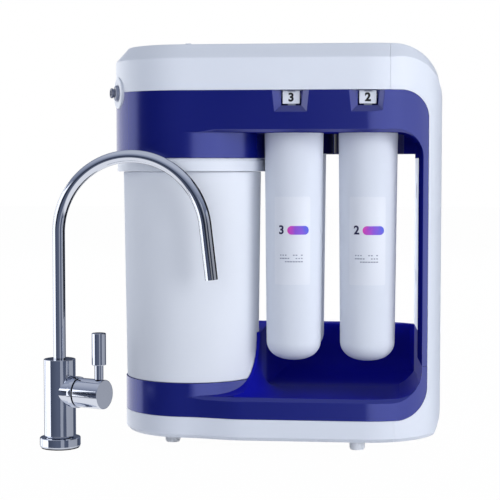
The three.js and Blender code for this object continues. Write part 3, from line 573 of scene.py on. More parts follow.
def placed(name: str, data: Any) -> bpy.types.Object:
    """Make an object and link it to the scene.

    Args:
        name: Its name.
        data: Its mesh, curve, light or camera.

    Returns:
        The object.
    """
    item = bpy.data.objects.new(name, data)
    bpy.context.scene.collection.objects.link(item)
    return item


# Solids


class Solid:
    """A closed body in millimetres."""

    def __init__(self, mesh: bpy.types.Mesh) -> None:
        """Keep the mesh."""
        self.mesh = mesh

    @classmethod
    def of(cls, points: Iterable[Sequence[float]], faces: Iterable[Sequence[int]]) -> "Solid":
        """Make a body from its points and faces.

        Args:
            points: Its corners.
            faces: The numbers of each face's corners.

        Returns:
            The body, with its faces outwards.
        """
        mesh = bpy.data.meshes.new("solid")
        mesh.from_pydata([tuple(p) for p in points], [], [tuple(f) for f in faces])
        return cls(mesh).tidied()

    def tidied(self, reach: float = 1e-4) -> "Solid":
        """Merge doubled points and turn the faces outwards.

        Args:
            reach: How close points are merged.

        Returns:
            The same body.
        """
        work = bmesh.new()
        work.from_mesh(self.mesh)
        bmesh.ops.remove_doubles(work, verts=work.verts, dist=reach)
        bmesh.ops.dissolve_degenerate(work, edges=work.edges, dist=reach / 2)
        bmesh.ops.recalc_face_normals(work, faces=work.faces)
        work.to_mesh(self.mesh)
        work.free()
        return self

    @classmethod
    def loft(cls, sections: Sequence[Sequence[Sequence[float]]]) -> "Solid":
        """Join closed sections of the same count into one body.

        Args:
            sections: The sections, from one end to the other.

        Returns:
            The body.
        """
        count = len(sections[0])
        faces = [list(range(count))[::-1]]
        for row in range(len(sections) - 1):
            for i in range(count):
                j = (i + 1) % count
                base = row * count
                faces.append([base + i, base + j, base + count + j, base + count + i])
        last = (len(sections) - 1) * count
        faces.append([last + i for i in range(count)])
        return cls.of([p for section in sections for p in section], faces)

    @classmethod
    def rise(cls, outline: Outline, low: float = 0.0, high: float = FAR) -> "Solid":
        """Raise a shape drawn from above between two heights."""
        return cls.loft([[(x, y, z) for x, y in outline] for z in (low, high)])

    @classmethod
    def run_back(cls, outline: Outline, near: float, far: float) -> "Solid":
        """Run a shape drawn from the front between two depths."""
        return cls.loft([[(x, y, z) for x, z in outline] for y in (near, far)])

    @classmethod
    def run_across(cls, outline: Outline, left: float, right: float) -> "Solid":
        """Run a shape drawn from the right between two places across."""
        return cls.loft([[(x, y, z) for y, z in outline] for x in (left, right)])

    @classmethod
    def block(cls, x: Point = EVERYWHERE, y: Point = EVERYWHERE, z: Point = EVERYWHERE) -> "Solid":
        """Make a block between its limits."""
        return cls.rise([(x[0], y[0]), (x[1], y[0]), (x[1], y[1]), (x[0], y[1])], *z)

    @classmethod
    def turned(cls, profile: Outline, segments: int = 96, at: Point = (0.0, 0.0)) -> "Solid":
        """Turn a closed profile of radii and heights about an upright axis.

        Args:
            profile: The profile; points on the axis become poles.
            segments: The number of faces around.
            at: Where the axis stands.

        Returns:
            The body.
        """
        points: list[tuple[float, float, float]] = []
        rings: list[list[int]] = []
        for radius, height in profile:
            if radius < TINY:
                rings.append([len(points)])
                points.append((at[0], at[1], height))
                continue
            rings.append(list(range(len(points), len(points) + segments)))
            for i in range(segments):
                a = 2 * math.pi * i / segments
                points.append((at[0] + radius * math.cos(a), at[1] + radius * math.sin(a), height))
        faces: list[list[int]] = []
        for k, ring in enumerate(rings):
            above = rings[(k + 1) % len(rings)]
            if len(ring) == 1 and len(above) == 1:
                continue
            for i in range(segments):
                j = (i + 1) % segments
                if len(ring) == 1:
                    faces.append([ring[0], above[j], above[i]])
                elif len(above) == 1:
                    faces.append([ring[i], ring[j], above[0]])
                else:
                    faces.append([ring[i], ring[j], above[j], above[i]])
        return cls.of(points, faces)

    @classmethod
    def rod(cls, radius: float, low: float, high: float, at: Point = (0, 0), segments: int = 96) -> "Solid":
        """Make an upright round bar."""
        return cls.turned(stepped((0, low), radius, high, 0), segments, at)

    @classmethod
    def hull(cls, points: Iterable[Sequence[float]]) -> "Solid":
        """Wrap points in the smallest body without hollows.

        Args:
            points: The points.

        Returns:
            The body.
        """
        work = bmesh.new()
        verts = [work.verts.new(p) for p in points]
        bmesh.ops.convex_hull(work, input=verts)
        mesh = bpy.data.meshes.new("hull")
        work.to_mesh(mesh)
        work.free()
        return cls(mesh).tidied()

    def moved(self, matrix: Matrix) -> "Solid":
        """Give a moved copy.

        Args:
            matrix: The move.

        Returns:
            The copy.
        """
        mesh = self.mesh.copy()
        mesh.transform(matrix)
        return Solid(mesh)

    def _combined(self, operation: str, others: Sequence["Solid"]) -> "Solid":
        """Combine this body with others.

        Args:
            operation: UNION, DIFFERENCE or INTERSECT.
            others: The other bodies, taken one after another.

        Returns:
            The new body.
        """
        base = placed("base", self.mesh)
        tools = [placed("tool", other.mesh) for other in others]
        for tool in tools:
            step = base.modifiers.new("step", "BOOLEAN")
            step.operation = operation
            step.solver = "MANIFOLD"
            step.object = tool
        result = evaluated_mesh(base)
        for item in [base, *tools]:
            bpy.data.objects.remove(item)
        if not result.polygons:
            LOG.warning("an empty body came from %s", operation)
        return Solid(result)

    def joined(self, *others: "Solid") -> "Solid":
        """Add other bodies."""
        return self._combined("UNION", others)

    def cut(self, *others: "Solid") -> "Solid":
        """Take other bodies away."""
        return self._combined("DIFFERENCE", others)

    def meet(self, *others: "Solid") -> "Solid":
        """Keep what lies in all the bodies."""
        return self._combined("INTERSECT", others)


def evaluated_mesh(item: bpy.types.Object) -> bpy.types.Mesh:
    """Give the mesh of an object with its modifiers applied."""
    graph = bpy.context.evaluated_depsgraph_get()
    return bpy.data.meshes.new_from_object(item.evaluated_get(graph))


@dataclass(frozen=True)
class Edges:
    """How a piece's sharp edges are broken, in millimetres."""

    width: float = 0.5
    segments: int = 2
    angle: float = 28.0


class Shop:
    """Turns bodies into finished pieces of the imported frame."""

    MERGE = 0.01
    SHARP_FROM = 33.0
    FACE_WEIGHT = 100

    def __init__(self) -> None:
        """Find where the unit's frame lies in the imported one, from the tank."""
        low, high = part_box("tank_vessel")
        tank = Footprint().tank
        middle = (low + high) / 2
        self.offset = Vector((middle.x - tank[0] * MM, middle.y - tank[1] * MM, 0.0))
        self.made: list[str] = []

    def to_frame(self, mesh: bpy.types.Mesh) -> bpy.types.Mesh:
        """Move a mesh from millimetres in the unit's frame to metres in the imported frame."""
        mesh.transform(Matrix.Translation(self.offset) @ Matrix.Scale(MM, 4))
        return mesh

    def piece(
        self,
        name: str,
        body: Solid,
        finish: Finish,
        slot: str,
        nodes: Sequence[str] = (),
        rides: str = "root",
        edges: Edges | None = None,
    ) -> bpy.types.Object:
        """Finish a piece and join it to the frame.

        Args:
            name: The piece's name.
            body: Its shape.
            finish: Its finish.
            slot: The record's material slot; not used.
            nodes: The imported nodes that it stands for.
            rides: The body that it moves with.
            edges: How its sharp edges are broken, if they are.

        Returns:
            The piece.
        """
        body.tidied(self.MERGE)
        mesh = self.to_frame(body.mesh.copy())
        mesh.materials.clear()
        mesh.materials.append(finish.material())
        item = placed(name, mesh)
        if edges:
            item.data = self._eased(item, edges)
        item.data.polygons.foreach_set("use_smooth", [True] * len(item.data.polygons))
        item.data.set_sharp_from_angle(angle=math.radians(self.SHARP_FROM))
        flat = item.modifiers.new("flat", "WEIGHTED_NORMAL")
        flat.keep_sharp = True
        flat.weight = self.FACE_WEIGHT
        item.data = evaluated_mesh(item)
        item.modifiers.clear()
        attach(item, rides)
        if nodes:
            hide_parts(*nodes)
        self.made.append(name)
        LOG.info("%s: %d faces", name, len(item.data.polygons))
        return item

    def _eased(self, item: bpy.types.Object, edges: Edges) -> bpy.types.Mesh:
        """Break an object's sharp edges.

        Args:
            item: The object.
            edges: How its edges are broken.

        Returns:
            The new mesh.
        """
        bevel = item.modifiers.new("edges", "BEVEL")
        bevel.width = edges.width * MM
        bevel.segments = edges.segments
        bevel.limit_method = "ANGLE"
        bevel.angle_limit = math.radians(edges.angle)
        bevel.use_clamp_overlap = False
        bevel.miter_outer = "MITER_ARC"
        mesh = evaluated_mesh(item)
        item.modifiers.clear()
        return mesh

    def line(self, item: bpy.types.Object, finish: Finish, inner: Callable[[Vector, Vector], bool]) -> None:
        """Give the inner faces of a piece a second finish, a lighter navy that is painted light for the shade
        inside the bay.

        Args:
            item: The piece.
            finish: The finish.
            inner: Tells from a face's middle, in millimetres in the unit's frame, and its normal.
        """
        item.data.materials.append(finish.material())
        for face in item.data.polygons:
            if inner((face.center - self.offset) / MM, face.normal):
                face.material_index = 1

    def dress(self, finish: Finish, *nodes: str) -> None:
        """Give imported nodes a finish.

        Args:
            finish: The finish.
            nodes: The nodes.
        """
        for name in nodes:
            item = FRAME["nodes"][name]
            item.data.materials.clear()
            item.data.materials.append(finish.material())


FRAME: dict[str, Any] = {}


class GrownMesh(Graph):
    """A Geometry Nodes tree whose result becomes a plain mesh."""

    def __init__(self, name: str, sizes: dict[str, float]) -> None:
        """Start a tree with named inputs.

        Args:
            name: The tree's name.
            sizes: The inputs' names and first values.
        """
        super().__init__(bpy.data.node_groups.new(name, "GeometryNodeTree"))
        face = self.tree.interface
        for label, value in sizes.items():
            kind = "NodeSocketInt" if isinstance(value, int) else "NodeSocketFloat"
            face.new_socket(label, in_out="INPUT", socket_type=kind).default_value = value
        face.new_socket("Geometry", in_out="OUTPUT", socket_type="NodeSocketGeometry")
        source = self.tree.nodes.new("NodeGroupInput")
        self.size = {label: Wire(self, source.outputs[label]) for label in sizes}

    def gathered(self, shapes: Sequence[Wire]) -> Wire:
        """Join shapes.

        Args:
            shapes: The shapes.

        Returns:
            All of them as one geometry.
        """
        whole = self.node("GeometryNodeJoinGeometry", {}, {0: shapes[0]})
        for shape in shapes[1:]:
            self.tree.links.new(shape.socket, whole.socket.node.inputs[0])
        return whole

    def close(self, shape: Wire, finish: Finish) -> None:
        """End the tree with realized instances and a material.

        Args:
            shape: The geometry.
            finish: The finish.
        """
        real = self.node("GeometryNodeRealizeInstances", {}, {"Geometry": shape})
        inputs = {"Geometry": real, "Material": finish.material()}
        dressed = self.node("GeometryNodeSetMaterial", {}, inputs)
        end = self.tree.nodes.new("NodeGroupOutput")
        self.tree.links.new(dressed.socket, end.inputs["Geometry"])

    def grow(self, **sizes: float) -> Solid:
        """Run the tree.

        Args:
            sizes: Values for its inputs, with _ for a space in their names.

        Returns:
            The mesh that it makes.
        """
        item = placed("grown", bpy.data.meshes.new("grown"))
        modifier = item.modifiers.new("rule", "NODES")
        modifier.node_group = self.tree
        for entry in self.tree.interface.items_tree:
            key = entry.name.replace(" ", "_")
            if entry.in_out == "INPUT" and key in sizes:
                modifier[entry.identifier] = sizes[key]
        mesh = evaluated_mesh(item)
        bpy.data.objects.remove(item)
        return Solid(mesh)


# The body of the unit


@dataclass(frozen=True)
class Footprint:
    """The unit seen from above."""

    left: float = -175.0
    right: float = 175.0
    front: float = -95.0
    back: float = 95.0
    left_radius: float = 82.0
    right_radius: float = 80.0
    tank: Point = (-93.0, -13.0)
    base_radius: float = 72.5
    ramp_end: float = -31.0
    arc_step: float = 2.5
    ramp_steps: int = 12

    def through(self, outline: Outline) -> Solid:
        """Run a shape drawn from the front through the whole unit."""
        return Solid.run_back(outline, self.front - 1, self.back + 1)

    def outline(self, inset: float = 0.0) -> Outline:
        """Give the upper body's outline.

        Args:
            inset: How far it is drawn in.

        Returns:
            The outline.
        """
        low = (self.left + inset, self.front + inset)
        high = (self.right - inset, self.back - inset)
        left, right = self.left_radius - inset, self.right_radius - inset
        return rounded(low, high, (left, right, right, left), self.arc_step)

    def base_outline(self, inset: float = 0.0) -> Outline:
        """Give the base's outline, which is narrower under the tank.

        Args:
            inset: How far it is drawn in.

        Returns:
            The outline.
        """
        left, right = self.base_radius - inset, self.right_radius - inset
        across = self.right - self.right_radius
        deep = self.back - self.right_radius
        points = []
        for i in range(self.ramp_steps + 1):
            x = self.tank[0] + (self.ramp_end - self.tank[0]) * i / self.ramp_steps
            points.append((x, self.base_face(x) + inset))
        points += arc((across, -deep), right, -90, 0, self.arc_step)
        points += arc((across, deep), right, 0, 90, self.arc_step)
        points += arc((self.tank[0], self.back - self.base_radius), left, 90, 180, self.arc_step)
        points += arc(self.tank, left, 180, 270 - self.arc_step, self.arc_step)
        return points

    def face(self, x: float) -> float:
        """Give the upper body's front face.

        Args:
            x: A place across.

        Returns:
            The face's depth there.
        """
        across = self.right - self.right_radius
        if x > across:
            return self.front + self.right_radius - self._bulge(x - across, self.right_radius)
        if x < self.tank[0]:
            return self.front + self.left_radius - self._bulge(self.tank[0] - x, self.left_radius)
        return self.front

    def _bulge(self, along: float, radius: float, spare: float = 0.01) -> float:
        """Give how far a round corner stands out."""
        return math.sqrt(radius**2 - min(along, radius - spare) ** 2)

    def base_face(self, x: float) -> float:
        """Give the base's front face.

        Args:
            x: A place across.

        Returns:
            The face's depth there.
        """
        if x < self.tank[0]:
            return self.tank[1] - self._bulge(self.tank[0] - x, self.base_radius)
        if x < self.ramp_end:
            start = self.tank[1] - self.base_radius
            share = (x - self.tank[0]) / (self.ramp_end - self.tank[0])
            return start + (self.front - start) * share**2 * (3 - 2 * share)
        return self.face(x)


@dataclass(frozen=True)
class Heights:
    """The levels that the unit's pieces share."""

    foot: float = 11.4
    base_top: float = 34.0
    rim_face: float = 52.7
    rim_top: float = 56.5
    tray_floor: float = 50.0
    seat_top: float = 69.3
    tray_back: float = 117.0
    column_low: float = 88.0
    column_high: float = 304.7
    apron_low: float = 309.5
    band_low: float = 330.6
    band_high: float = 373.5
    top: float = 421.5


@dataclass(frozen=True)
class Openings:
    """The blue face and the bay in it, seen from the front."""

    right: float = 160.0
    top_corner: float = 28.0
    low_corner: float = 32.0
    bay_right: float = 154.4
    bay_right_middle: float = 151.2
    bay_right_back: float = 148.8
    bay_top_corner: float = 25.0
    bay_low_corner: float = 33.0
    rim_corner: float = 26.5
    bay_split: float = 5.0
    bay_wall_back: float = 69.0
    levels: Heights = Heights()
    front_straight: float = 26.0

    def blue(self, clearance: float = 0.0) -> Outline:
        """Give the blue face's outline.

        Args:
            clearance: How far it is drawn out.

        Returns:
            The outline.
        """
        low = (-FAR, self.levels.base_top - clearance)
        high = (self.right + clearance, self.levels.band_high + clearance)
        radii = (1.0, self.low_corner + clearance, self.top_corner + clearance, 1.0)
        return rounded(low, high, radii)

    def bay(self) -> Outline:
        """Give the bay's outline."""
        high = (self.bay_right, self.levels.band_low)
        radii = (1.0, self.bay_low_corner, self.bay_top_corner, 1.0)
        return rounded((-FAR, self.levels.tray_floor), high, radii)

    def rim(self) -> Outline:
        """Give the edge of the bay at the tray's rim, which closes in one smooth curve."""
        high = (self.bay_right, self.levels.band_low)
        radii = (1.0, self.rim_corner, self.bay_top_corner, 1.0)
        return rounded((-FAR, self.levels.rim_top), high, radii)

    def bay_plan(self, extra: float = 0.0) -> Outline:
        """Give the bay's right-hand side from above.

        Args:
            extra: How far it is moved out.

        Returns:
            The bay's outline.
        """
        front, back = Footprint().front, Footprint().back
        return [
            (-FAR, front - 1),
            (self.bay_right + extra, front - 1),
            (self.bay_right + extra, front + self.front_straight),
            (self.bay_right_middle + extra, self.bay_split),
            (self.bay_right_back + extra, self.bay_wall_back),
            (self.bay_right_back + extra, back + 1),
            (-FAR, back + 1),
        ]


@dataclass(frozen=True)
class Station:
    """Where a cartridge hangs; side is -1 at the front and 1 at the back."""

    number: int
    x: float
    y: float
    side: int

    @property
    def place(self) -> Point:
        """Give the cartridge's axis."""
        return (self.x, self.y)

    def block(self, half: float, deep: float, low: float, high: float) -> Solid:
        """Make a block that goes in from the unit's outer face.

        Args:
            half: Half its width.
            deep: How far it goes in.
            low: Its underside.
            high: Its top.

        Returns:
            The block.
        """
        face = self.side * Footprint().back
        depths = (min(face, face - self.side * deep), max(face, face - self.side * deep))
        return Solid.block((self.x - half, self.x + half), depths, (low, high))


STATIONS = [
    Station(1, 97.2, 37.5, 1),
    Station(2, 97.2, -37.5, -1),
    Station(3, 18.9, -37.5, -1),
    Station(4, 18.9, 37.5, 1),
]


@dataclass(frozen=True)
class ChamferPath:
    """The edge that a chamfer follows: it fades in, runs straight and fades out round a corner."""

    start: float
    full: float
    corner: Point
    radius: float
    way: int
    steps: tuple[int, int, int]
    sweep: float
    fade: int
    spare: float = 0.6

    def places(self) -> list[tuple[Point, Point, float]]:
        """Give the edge's places, outward directions and shares of the full chamfer."""
        ramp, straight, turn = self.steps
        runs = [(self.start + (self.full - self.start) * i / ramp, i / ramp) for i in range(ramp + 1)]
        runs += [(self.full + (self.corner[0] - self.full) * i / straight, 1.0) for i in range(1, straight)]
        edge = self.corner[1] + self.way * self.radius
        path = [((x, edge), (0.0, float(self.way)), share) for x, share in runs]
        for i in range(turn + 1):
            angle = math.radians(self.sweep * i / turn)
            out = (math.sin(angle), self.way * math.cos(angle))
            place = (self.corner[0] + self.radius * out[0], self.corner[1] + self.radius * out[1])
            path.append((place, out, clamp(1 - i / self.fade)))
        return path

    def cutter(self, face: Callable[[float], float], wide: float, deep: float) -> Solid:
        """Make the body that cuts the chamfer.

        Args:
            face: Gives the front face's depth at a place across.
            wide: How far the chamfer goes into the face.
            deep: How far it goes back into the opening.

        Returns:
            The cutter.
        """
        sections = []
        for (x, z), (out_x, out_z), share in self.places():
            corners = (
                (wide * (share + self.spare), -deep * self.spare),
                (-wide * self.spare, deep * (share + self.spare)),
                (-wide * self.spare, -deep * self.spare),
            )
            near = face(x)
            sections.append([(x + out_x * out, near + back, z + out_z * out) for out, back in corners])
        return Solid.loft(sections)


@dataclass
class WhiteShell:
    """The white top cover, right-hand shell and base pan."""

    shop: Shop
    plan: Footprint = Footprint()
    levels: Heights = Heights()
    openings: Openings = Openings()
    top_corner: float = 52.0
    low_corner: float = 48.0
    low_corner_z: float = 39.4
    bevel_wide: float = 13.4
    bevel_tall: float = 15.0
    bevel_fade: float = 0.65
    base_bevel: float = 4.0
    top_seam: float = 119.9
    low_seam: float = 125.7
    seam_turn: float = 200.0
    soft: float = 0.8
    soft_steps: int = 4
    soft_share: float = 0.3
    nub_x: Point = (-91.0, -85.0)
    nub_z: Point = (420.5, 422.3)
    broken: Edges = Edges(0.22)

    def _curve(self, x: float, corner: float, inset: float) -> float:
        """Give how far a rounded edge on the right stands out."""
        reach = clamp((x - (self.plan.right - corner)) / (corner - inset))
        return (corner - inset) * math.sqrt(1 - reach**2)

    def _roof(self, x: float, inset: float) -> float:
        """Give the roof's height at a place across."""
        return self.levels.top - self.top_corner + self._curve(x, self.top_corner, inset)

    def _keel(self, x: float, inset: float) -> float:
        """Give the underside's height at a place across."""
        return max(self.levels.foot + inset, self.low_corner_z - self._curve(x, self.low_corner, inset))

    def _section(self, centre: Point, way: Point, radius: float, inset: float) -> list[Vector]:
        """Draw the shell's wall at one place round the footprint.

        Args:
            centre: The middle of the corner that the place belongs to.
            way: The outward direction.
            radius: The corner's radius.
            inset: How far the wall is drawn in.

        Returns:
            Points from the underside up to the roof.
        """

        def at(drawn_in: float, height: Callable[[float, float], float]) -> tuple[float, float, float]:
            """Give a point of the section.

            Args:
                drawn_in: How far in it lies.
                height: Gives its height from its place across and the inset.

            Returns:
                The point.
            """
            reach = radius - inset - drawn_in
            x = centre[0] + way[0] * reach
            return (x, centre[1] + way[1] * reach, height(x, inset))

        x, y, keel = at(0.0, self._keel)
        round_from, corner = self.plan.right - self.top_corner, self.top_corner - inset
        fade = 1 - self.bevel_fade * clamp((x - round_from) / corner)
        if keel <= self.levels.foot + inset + TINY:
            keel += self.base_bevel
        shoulder = Vector((x, y, self._roof(x, inset) - self.bevel_tall * fade))
        lid = Vector(at(self.bevel_wide * fade, self._roof))
        start = Vector(at(self.bevel_wide * fade + self.soft, self._roof))
        along = (lid - shoulder).normalized()
        reach = min(self.soft, (lid - shoulder).length * self.soft_share)
        points = [Vector(at(self.base_bevel, self._keel)), Vector((x, y, keel))]
        points += bowed(shoulder - UP * reach, shoulder, shoulder + along * reach, self.soft_steps)
        points += bowed(lid - along * reach, lid, start, self.soft_steps)
        return points

    def _envelope(self, inset: float) -> Solid:
        """Make the whole shell's outside as a filled body.

        Args:
            inset: How far it is drawn in.

        Returns:
            The body.
        """
        plan = self.plan
        rows: list[list[Vector]] = []
        right = (plan.right - plan.right_radius, plan.front + plan.right_radius)
        for centre, radius, first in ((plan.tank, plan.left_radius, 180), (right, plan.right_radius, 270)):
            for way in arc((0.0, 0.0), 1.0, first, first + 90, plan.arc_step):
                rows.append(self._section(centre, way, radius, inset))
        count, depth = len(rows), len(rows[0])
        mirrored = [[(x, -y, z) for x, y, z in row] for row in rows]
        ring = list(range(count)) + [count + k for k in reversed(range(count))]
        faces = []
        for a, b in zip(ring, ring[1:] + ring[:1]):
            for j in range(depth - 1):
                faces.append([a * depth + j, b * depth + j, b * depth + j + 1, a * depth + j + 1])
        for k in range(count - 1):
            for j in (0, depth - 1):
                front, back = k * depth + j, (count + k) * depth + j
                faces.append([front, front + depth, back + depth, back])
        return Solid.of([point for row in rows + mirrored for point in row], faces)

    def build(self) -> None:
        """Make the three white pieces."""
        skin = self._envelope(0.0).cut(self._envelope(WALL))
        half = SEAM / 2
        edge = self.plan.front + self.bevel_wide
        nub_low, nub_high = (self.nub_x[0], edge + 1), (self.nub_x[1], edge + 4)
        nub = Solid.rise(rounded(nub_low, nub_high, [1] * 4, 15), *self.nub_z)
        upper = Solid.block((-FAR, self.top_seam - half), z=(self.levels.band_high + SEAM, FAR))
        cover = skin.meet(upper).joined(nub).cut(SidePort(self.shop).hole())
        right = Solid.block((self.top_seam + half, FAR), z=(self.seam_turn, FAR))
        right = right.joined(Solid.block((self.low_seam + half, FAR), z=(-FAR, self.seam_turn + 0.5)))
        side = skin.meet(right).cut(self.plan.through(self.openings.blue(SEAM)))
        for name, body, node in (
            ("top_cover_skin", cover, "top_cover"),
            ("right_side_skin", side, "right_side_shell"),
            ("base_pan_skin", self._base(), "base_pan"),
        ):
            self.shop.piece(name, body, Finish.SHELL, "white_shell", [node], edges=self.broken)

    def _base(self) -> Solid:
        """Make the base pan."""
        plan, foot, top = self.plan, self.levels.foot, self.levels.base_top
        rows = [[(x, y, foot) for x, y in plan.base_outline(self.base_bevel)]]
        for z in (foot + self.base_bevel, top - SEAM / 2):
            rows.append([(x, y, z) for x, y in plan.base_outline()])
        hollow = Solid.rise(plan.base_outline(self.base_bevel + WALL), foot + WALL, top + 1)
        wide = Solid.rise(plan.base_outline(WALL), foot + self.base_bevel + WALL, top + 1)
        return Solid.loft(rows).cut(hollow, wide).meet(Solid.block((-FAR, self.low_seam - SEAM / 2)))


@dataclass
class BlueFrame:
    """The navy upper housing with its column, the white liner behind it and the lower tray."""

    shop: Shop
    plan: Footprint = Footprint()
    levels: Heights = Heights()
    openings: Openings = Openings()
    shroud_radius: float = 80.7
    shroud_low: float = 304.4
    apron_left: float = -20.0
    cartridge_hole: float = 32.0
    rear_slot: float = 39.0
    button_inset: float = 9.0
    button_room: float = 17.3
    window_wide: float = 20.6
    window_low: float = 358.0
    recess_top_wide: float = 37.7
    recess_low_wide: float = 33.0
    recess_low: float = 351.2
    chamfer_wide: float = 2.8
    chamfer_deep: float = 3.5
    chamfer_start: float = 17.0
    liner_hole_y: float = 40.0
    liner_holes: tuple[Point, ...] = ((9.0, 268.7), (2.0, 220.9), (9.0, 173.1))
    seat_radius: float = 72.8
    cradle_inner: float = 72.5
    cradle_outer: float = 76.0
    cradle_span: Point = (-73.0, 20.0)
    cradle_spare: float = 40.0
    tray_fillet: float = 30.0
    foot_fillet: float = 26.0
    corner_fillet: float = 34.0
    rear_wall_left: float = -60.0
    rear_wall_round: float = 4.5
    scoop_low: float = 56.5
    scoop_start: float = -84.0
    scoop_long: float = 57.0
    rim_thick: float = 7.0
    rim_run: Point = (-8.0, 22.0)
    segments: int = 144

    @property
    def tray_low(self) -> float:
        """Give the tray's underside."""
        return self.levels.base_top + GAP / 2

    def _recess(self, station: Station) -> Solid:
        """Make the cutter for the slanted recess in front of a button.

        Args:
            station: The button's place.

        Returns:
            The cutter, with flat faces.
        """
        face, high = station.side * self.plan.back, self.levels.band_high + 1
        inner, outer = face - station.side * self.button_inset, face + station.side * 2
        sink = (self.window_low - self.recess_low) / self.button_inset
        lean = (self.recess_top_wide - self.recess_low_wide) / (self.levels.band_high - self.recess_low) / 2
        spread = (self.recess_low_wide - self.window_wide) / 2 / self.button_inset + lean * sink
        corners = []
        for out, back, low in (
            (spread * (2 + self.button_inset), outer, self.recess_low - sink * 2),
            (0.0, inner, self.window_low),
        ):
            for z in (low, high):
                wide = self.window_wide / 2 + lean * (z - self.window_low) + out
                corners += [(station.x + side * wide, back, z) for side in (-1, 1)]
        return Solid.hull(corners)

    def _mouth(self) -> Solid:
        """Make the cutter for the chamfer over the bay."""
        radius, start = self.openings.bay_top_corner, self.plan.tank[0] + self.chamfer_start
        corner = (self.openings.bay_right - radius, self.levels.band_low - radius)
        path = ChamferPath(start, start + self.chamfer_start, corner, radius, 1, (7, 12, 15), 90, 13)
        return path.cutter(self.plan.face, self.chamfer_wide, self.chamfer_deep)

    def _rim_chamfer(self) -> Solid:
        """Make the cutter for the chamfer along the tray's front rim."""
        radius, (start, full) = self.openings.rim_corner, [self.plan.tank[0] + x for x in self.rim_run]
        corner = (self.openings.bay_right - radius, self.levels.rim_top + radius)
        wide = self.levels.rim_top - self.levels.rim_face
        path = ChamferPath(start, full, corner, radius, -1, (9, 14, 14), 94, 10)
        return path.cutter(self.plan.base_face, wide, wide)

    def _column(self, near: float, far: float) -> Solid:
        """Make a stretch of the bay's right-hand column.

        Args:
            near: Its depth at the front.
            far: Its depth at the back.

        Returns:
            The hollow stretch.
        """
        plan, openings = self.plan, self.openings
        heights = (self.levels.column_low, self.levels.column_high)
        strip = Solid.block((openings.bay_right_back - 1, openings.right), (near, far), heights)
        outer = Solid.rise(plan.outline(), *heights).meet(strip).cut(Solid.rise(openings.bay_plan()))
        return outer.cut(Solid.rise(plan.outline(WALL)).cut(Solid.rise(openings.bay_plan(WALL))))

    def _corner_and_apron(self, blue: Solid) -> list[Solid]:
        """Make the bay's upper right-hand corner and the wall below the band at the back.

        Args:
            blue: The blue face, run through the unit.

        Returns:
            The two bodies.
        """
        plan, levels, openings = self.plan, self.levels, self.openings
        top = levels.band_high - 1
        body = Solid.rise(plan.outline(), levels.column_high, levels.band_high).meet(blue)
        bay = plan.through(openings.bay()).meet(Solid.rise(openings.bay_plan(), -1))
        corner_left = openings.bay_right - openings.bay_top_corner - 1
        corner = body.meet(Solid.block((corner_left, FAR), z=(levels.column_high, top))).cut(bay)
        depths = (openings.bay_split, plan.back + 1)
        room = Solid.block((self.apron_left, openings.right), depths, (levels.apron_low, top))
        return [corner, body.meet(room).cut(Solid.rise(plan.outline(WALL)))]

    def _cartridge_holes(self, low: float, high: float) -> list[Solid]:
        """Make the cutters that let the cartridges through the band.

        Args:
            low: Their undersides.
            high: Their tops.

        Returns:
            A round hole for each front cartridge, and one slot for the two at the back.
        """
        fronts = [station.place for station in STATIONS if station.side < 0]
        rears = [station.place for station in STATIONS if station.side > 0]
        holes = [Solid.rod(self.cartridge_hole, low, high, place) for place in fronts]
        slot_low = [value - self.rear_slot for value in min(rears)]
        slot_high = [value + self.rear_slot for value in max(rears)]
        slot = rounded(slot_low, slot_high, [self.rear_slot - 0.01] * 4)
        return holes + [Solid.rise(slot, low, high)]

    def _housing(self) -> Solid:
        """Make the upper housing."""
        plan, openings = self.plan, self.openings
        low, high = self.levels.band_low, self.levels.band_high
        blue = plan.through(openings.blue())
        whole = Solid.rise(plan.outline(), low, high)
        profile = stepped((0, self.shroud_low), plan.left_radius, low + WALL, 0)
        shroud = Solid.turned(profile, self.segments, plan.tank)
        column = self._column(plan.front - 1, openings.bay_split - GAP / 2)
        inside = Solid.rise(plan.outline(WALL), low + WALL, high - WALL)
        inside = inside.meet(Solid.block((-FAR, openings.right - WALL), z=(0, FAR)))
        bore = Solid.rod(self.shroud_radius - WALL, self.shroud_low - 1, low + WALL + 1, plan.tank)
        hollow = whole.meet(blue).joined(shroud, *self._corner_and_apron(blue), column)
        hollow = hollow.cut(inside, bore, *self._cartridge_holes(low - 1, low + WALL + 1))
        wells, recesses = [], []
        for station in STATIONS:
            half, well_low = self.recess_top_wide / 2 + 1, self.recess_low - WALL
            wells.append(station.block(half, self.button_inset + WALL, well_low, high).meet(whole))
            recesses.append(self._recess(station))
            half = self.window_wide / 2
            recesses.append(station.block(half, self.button_room, self.window_low, high + 1))
        return hollow.joined(*wells).cut(*recesses, SidePort(self.shop).hole(), self._mouth())

    def _liner(self) -> Solid:
        """Make the white rear part of the column, with its holes."""
        openings = self.openings
        tray_room = Solid.block((0, FAR), (openings.bay_split, FAR), (0, self.levels.tray_back + GAP))
        wall = self._column(openings.bay_split + GAP / 2, self.plan.back + 1).cut(tray_room)
        for radius, z in self.liner_holes:
            place = Matrix.Translation((openings.bay_right_back + 1, self.liner_hole_y, z))
            hole = Solid.rod(radius, -6, 6, segments=48)
            wall = wall.cut(hole.moved(place @ turned_about("Y", 90)))
        return wall

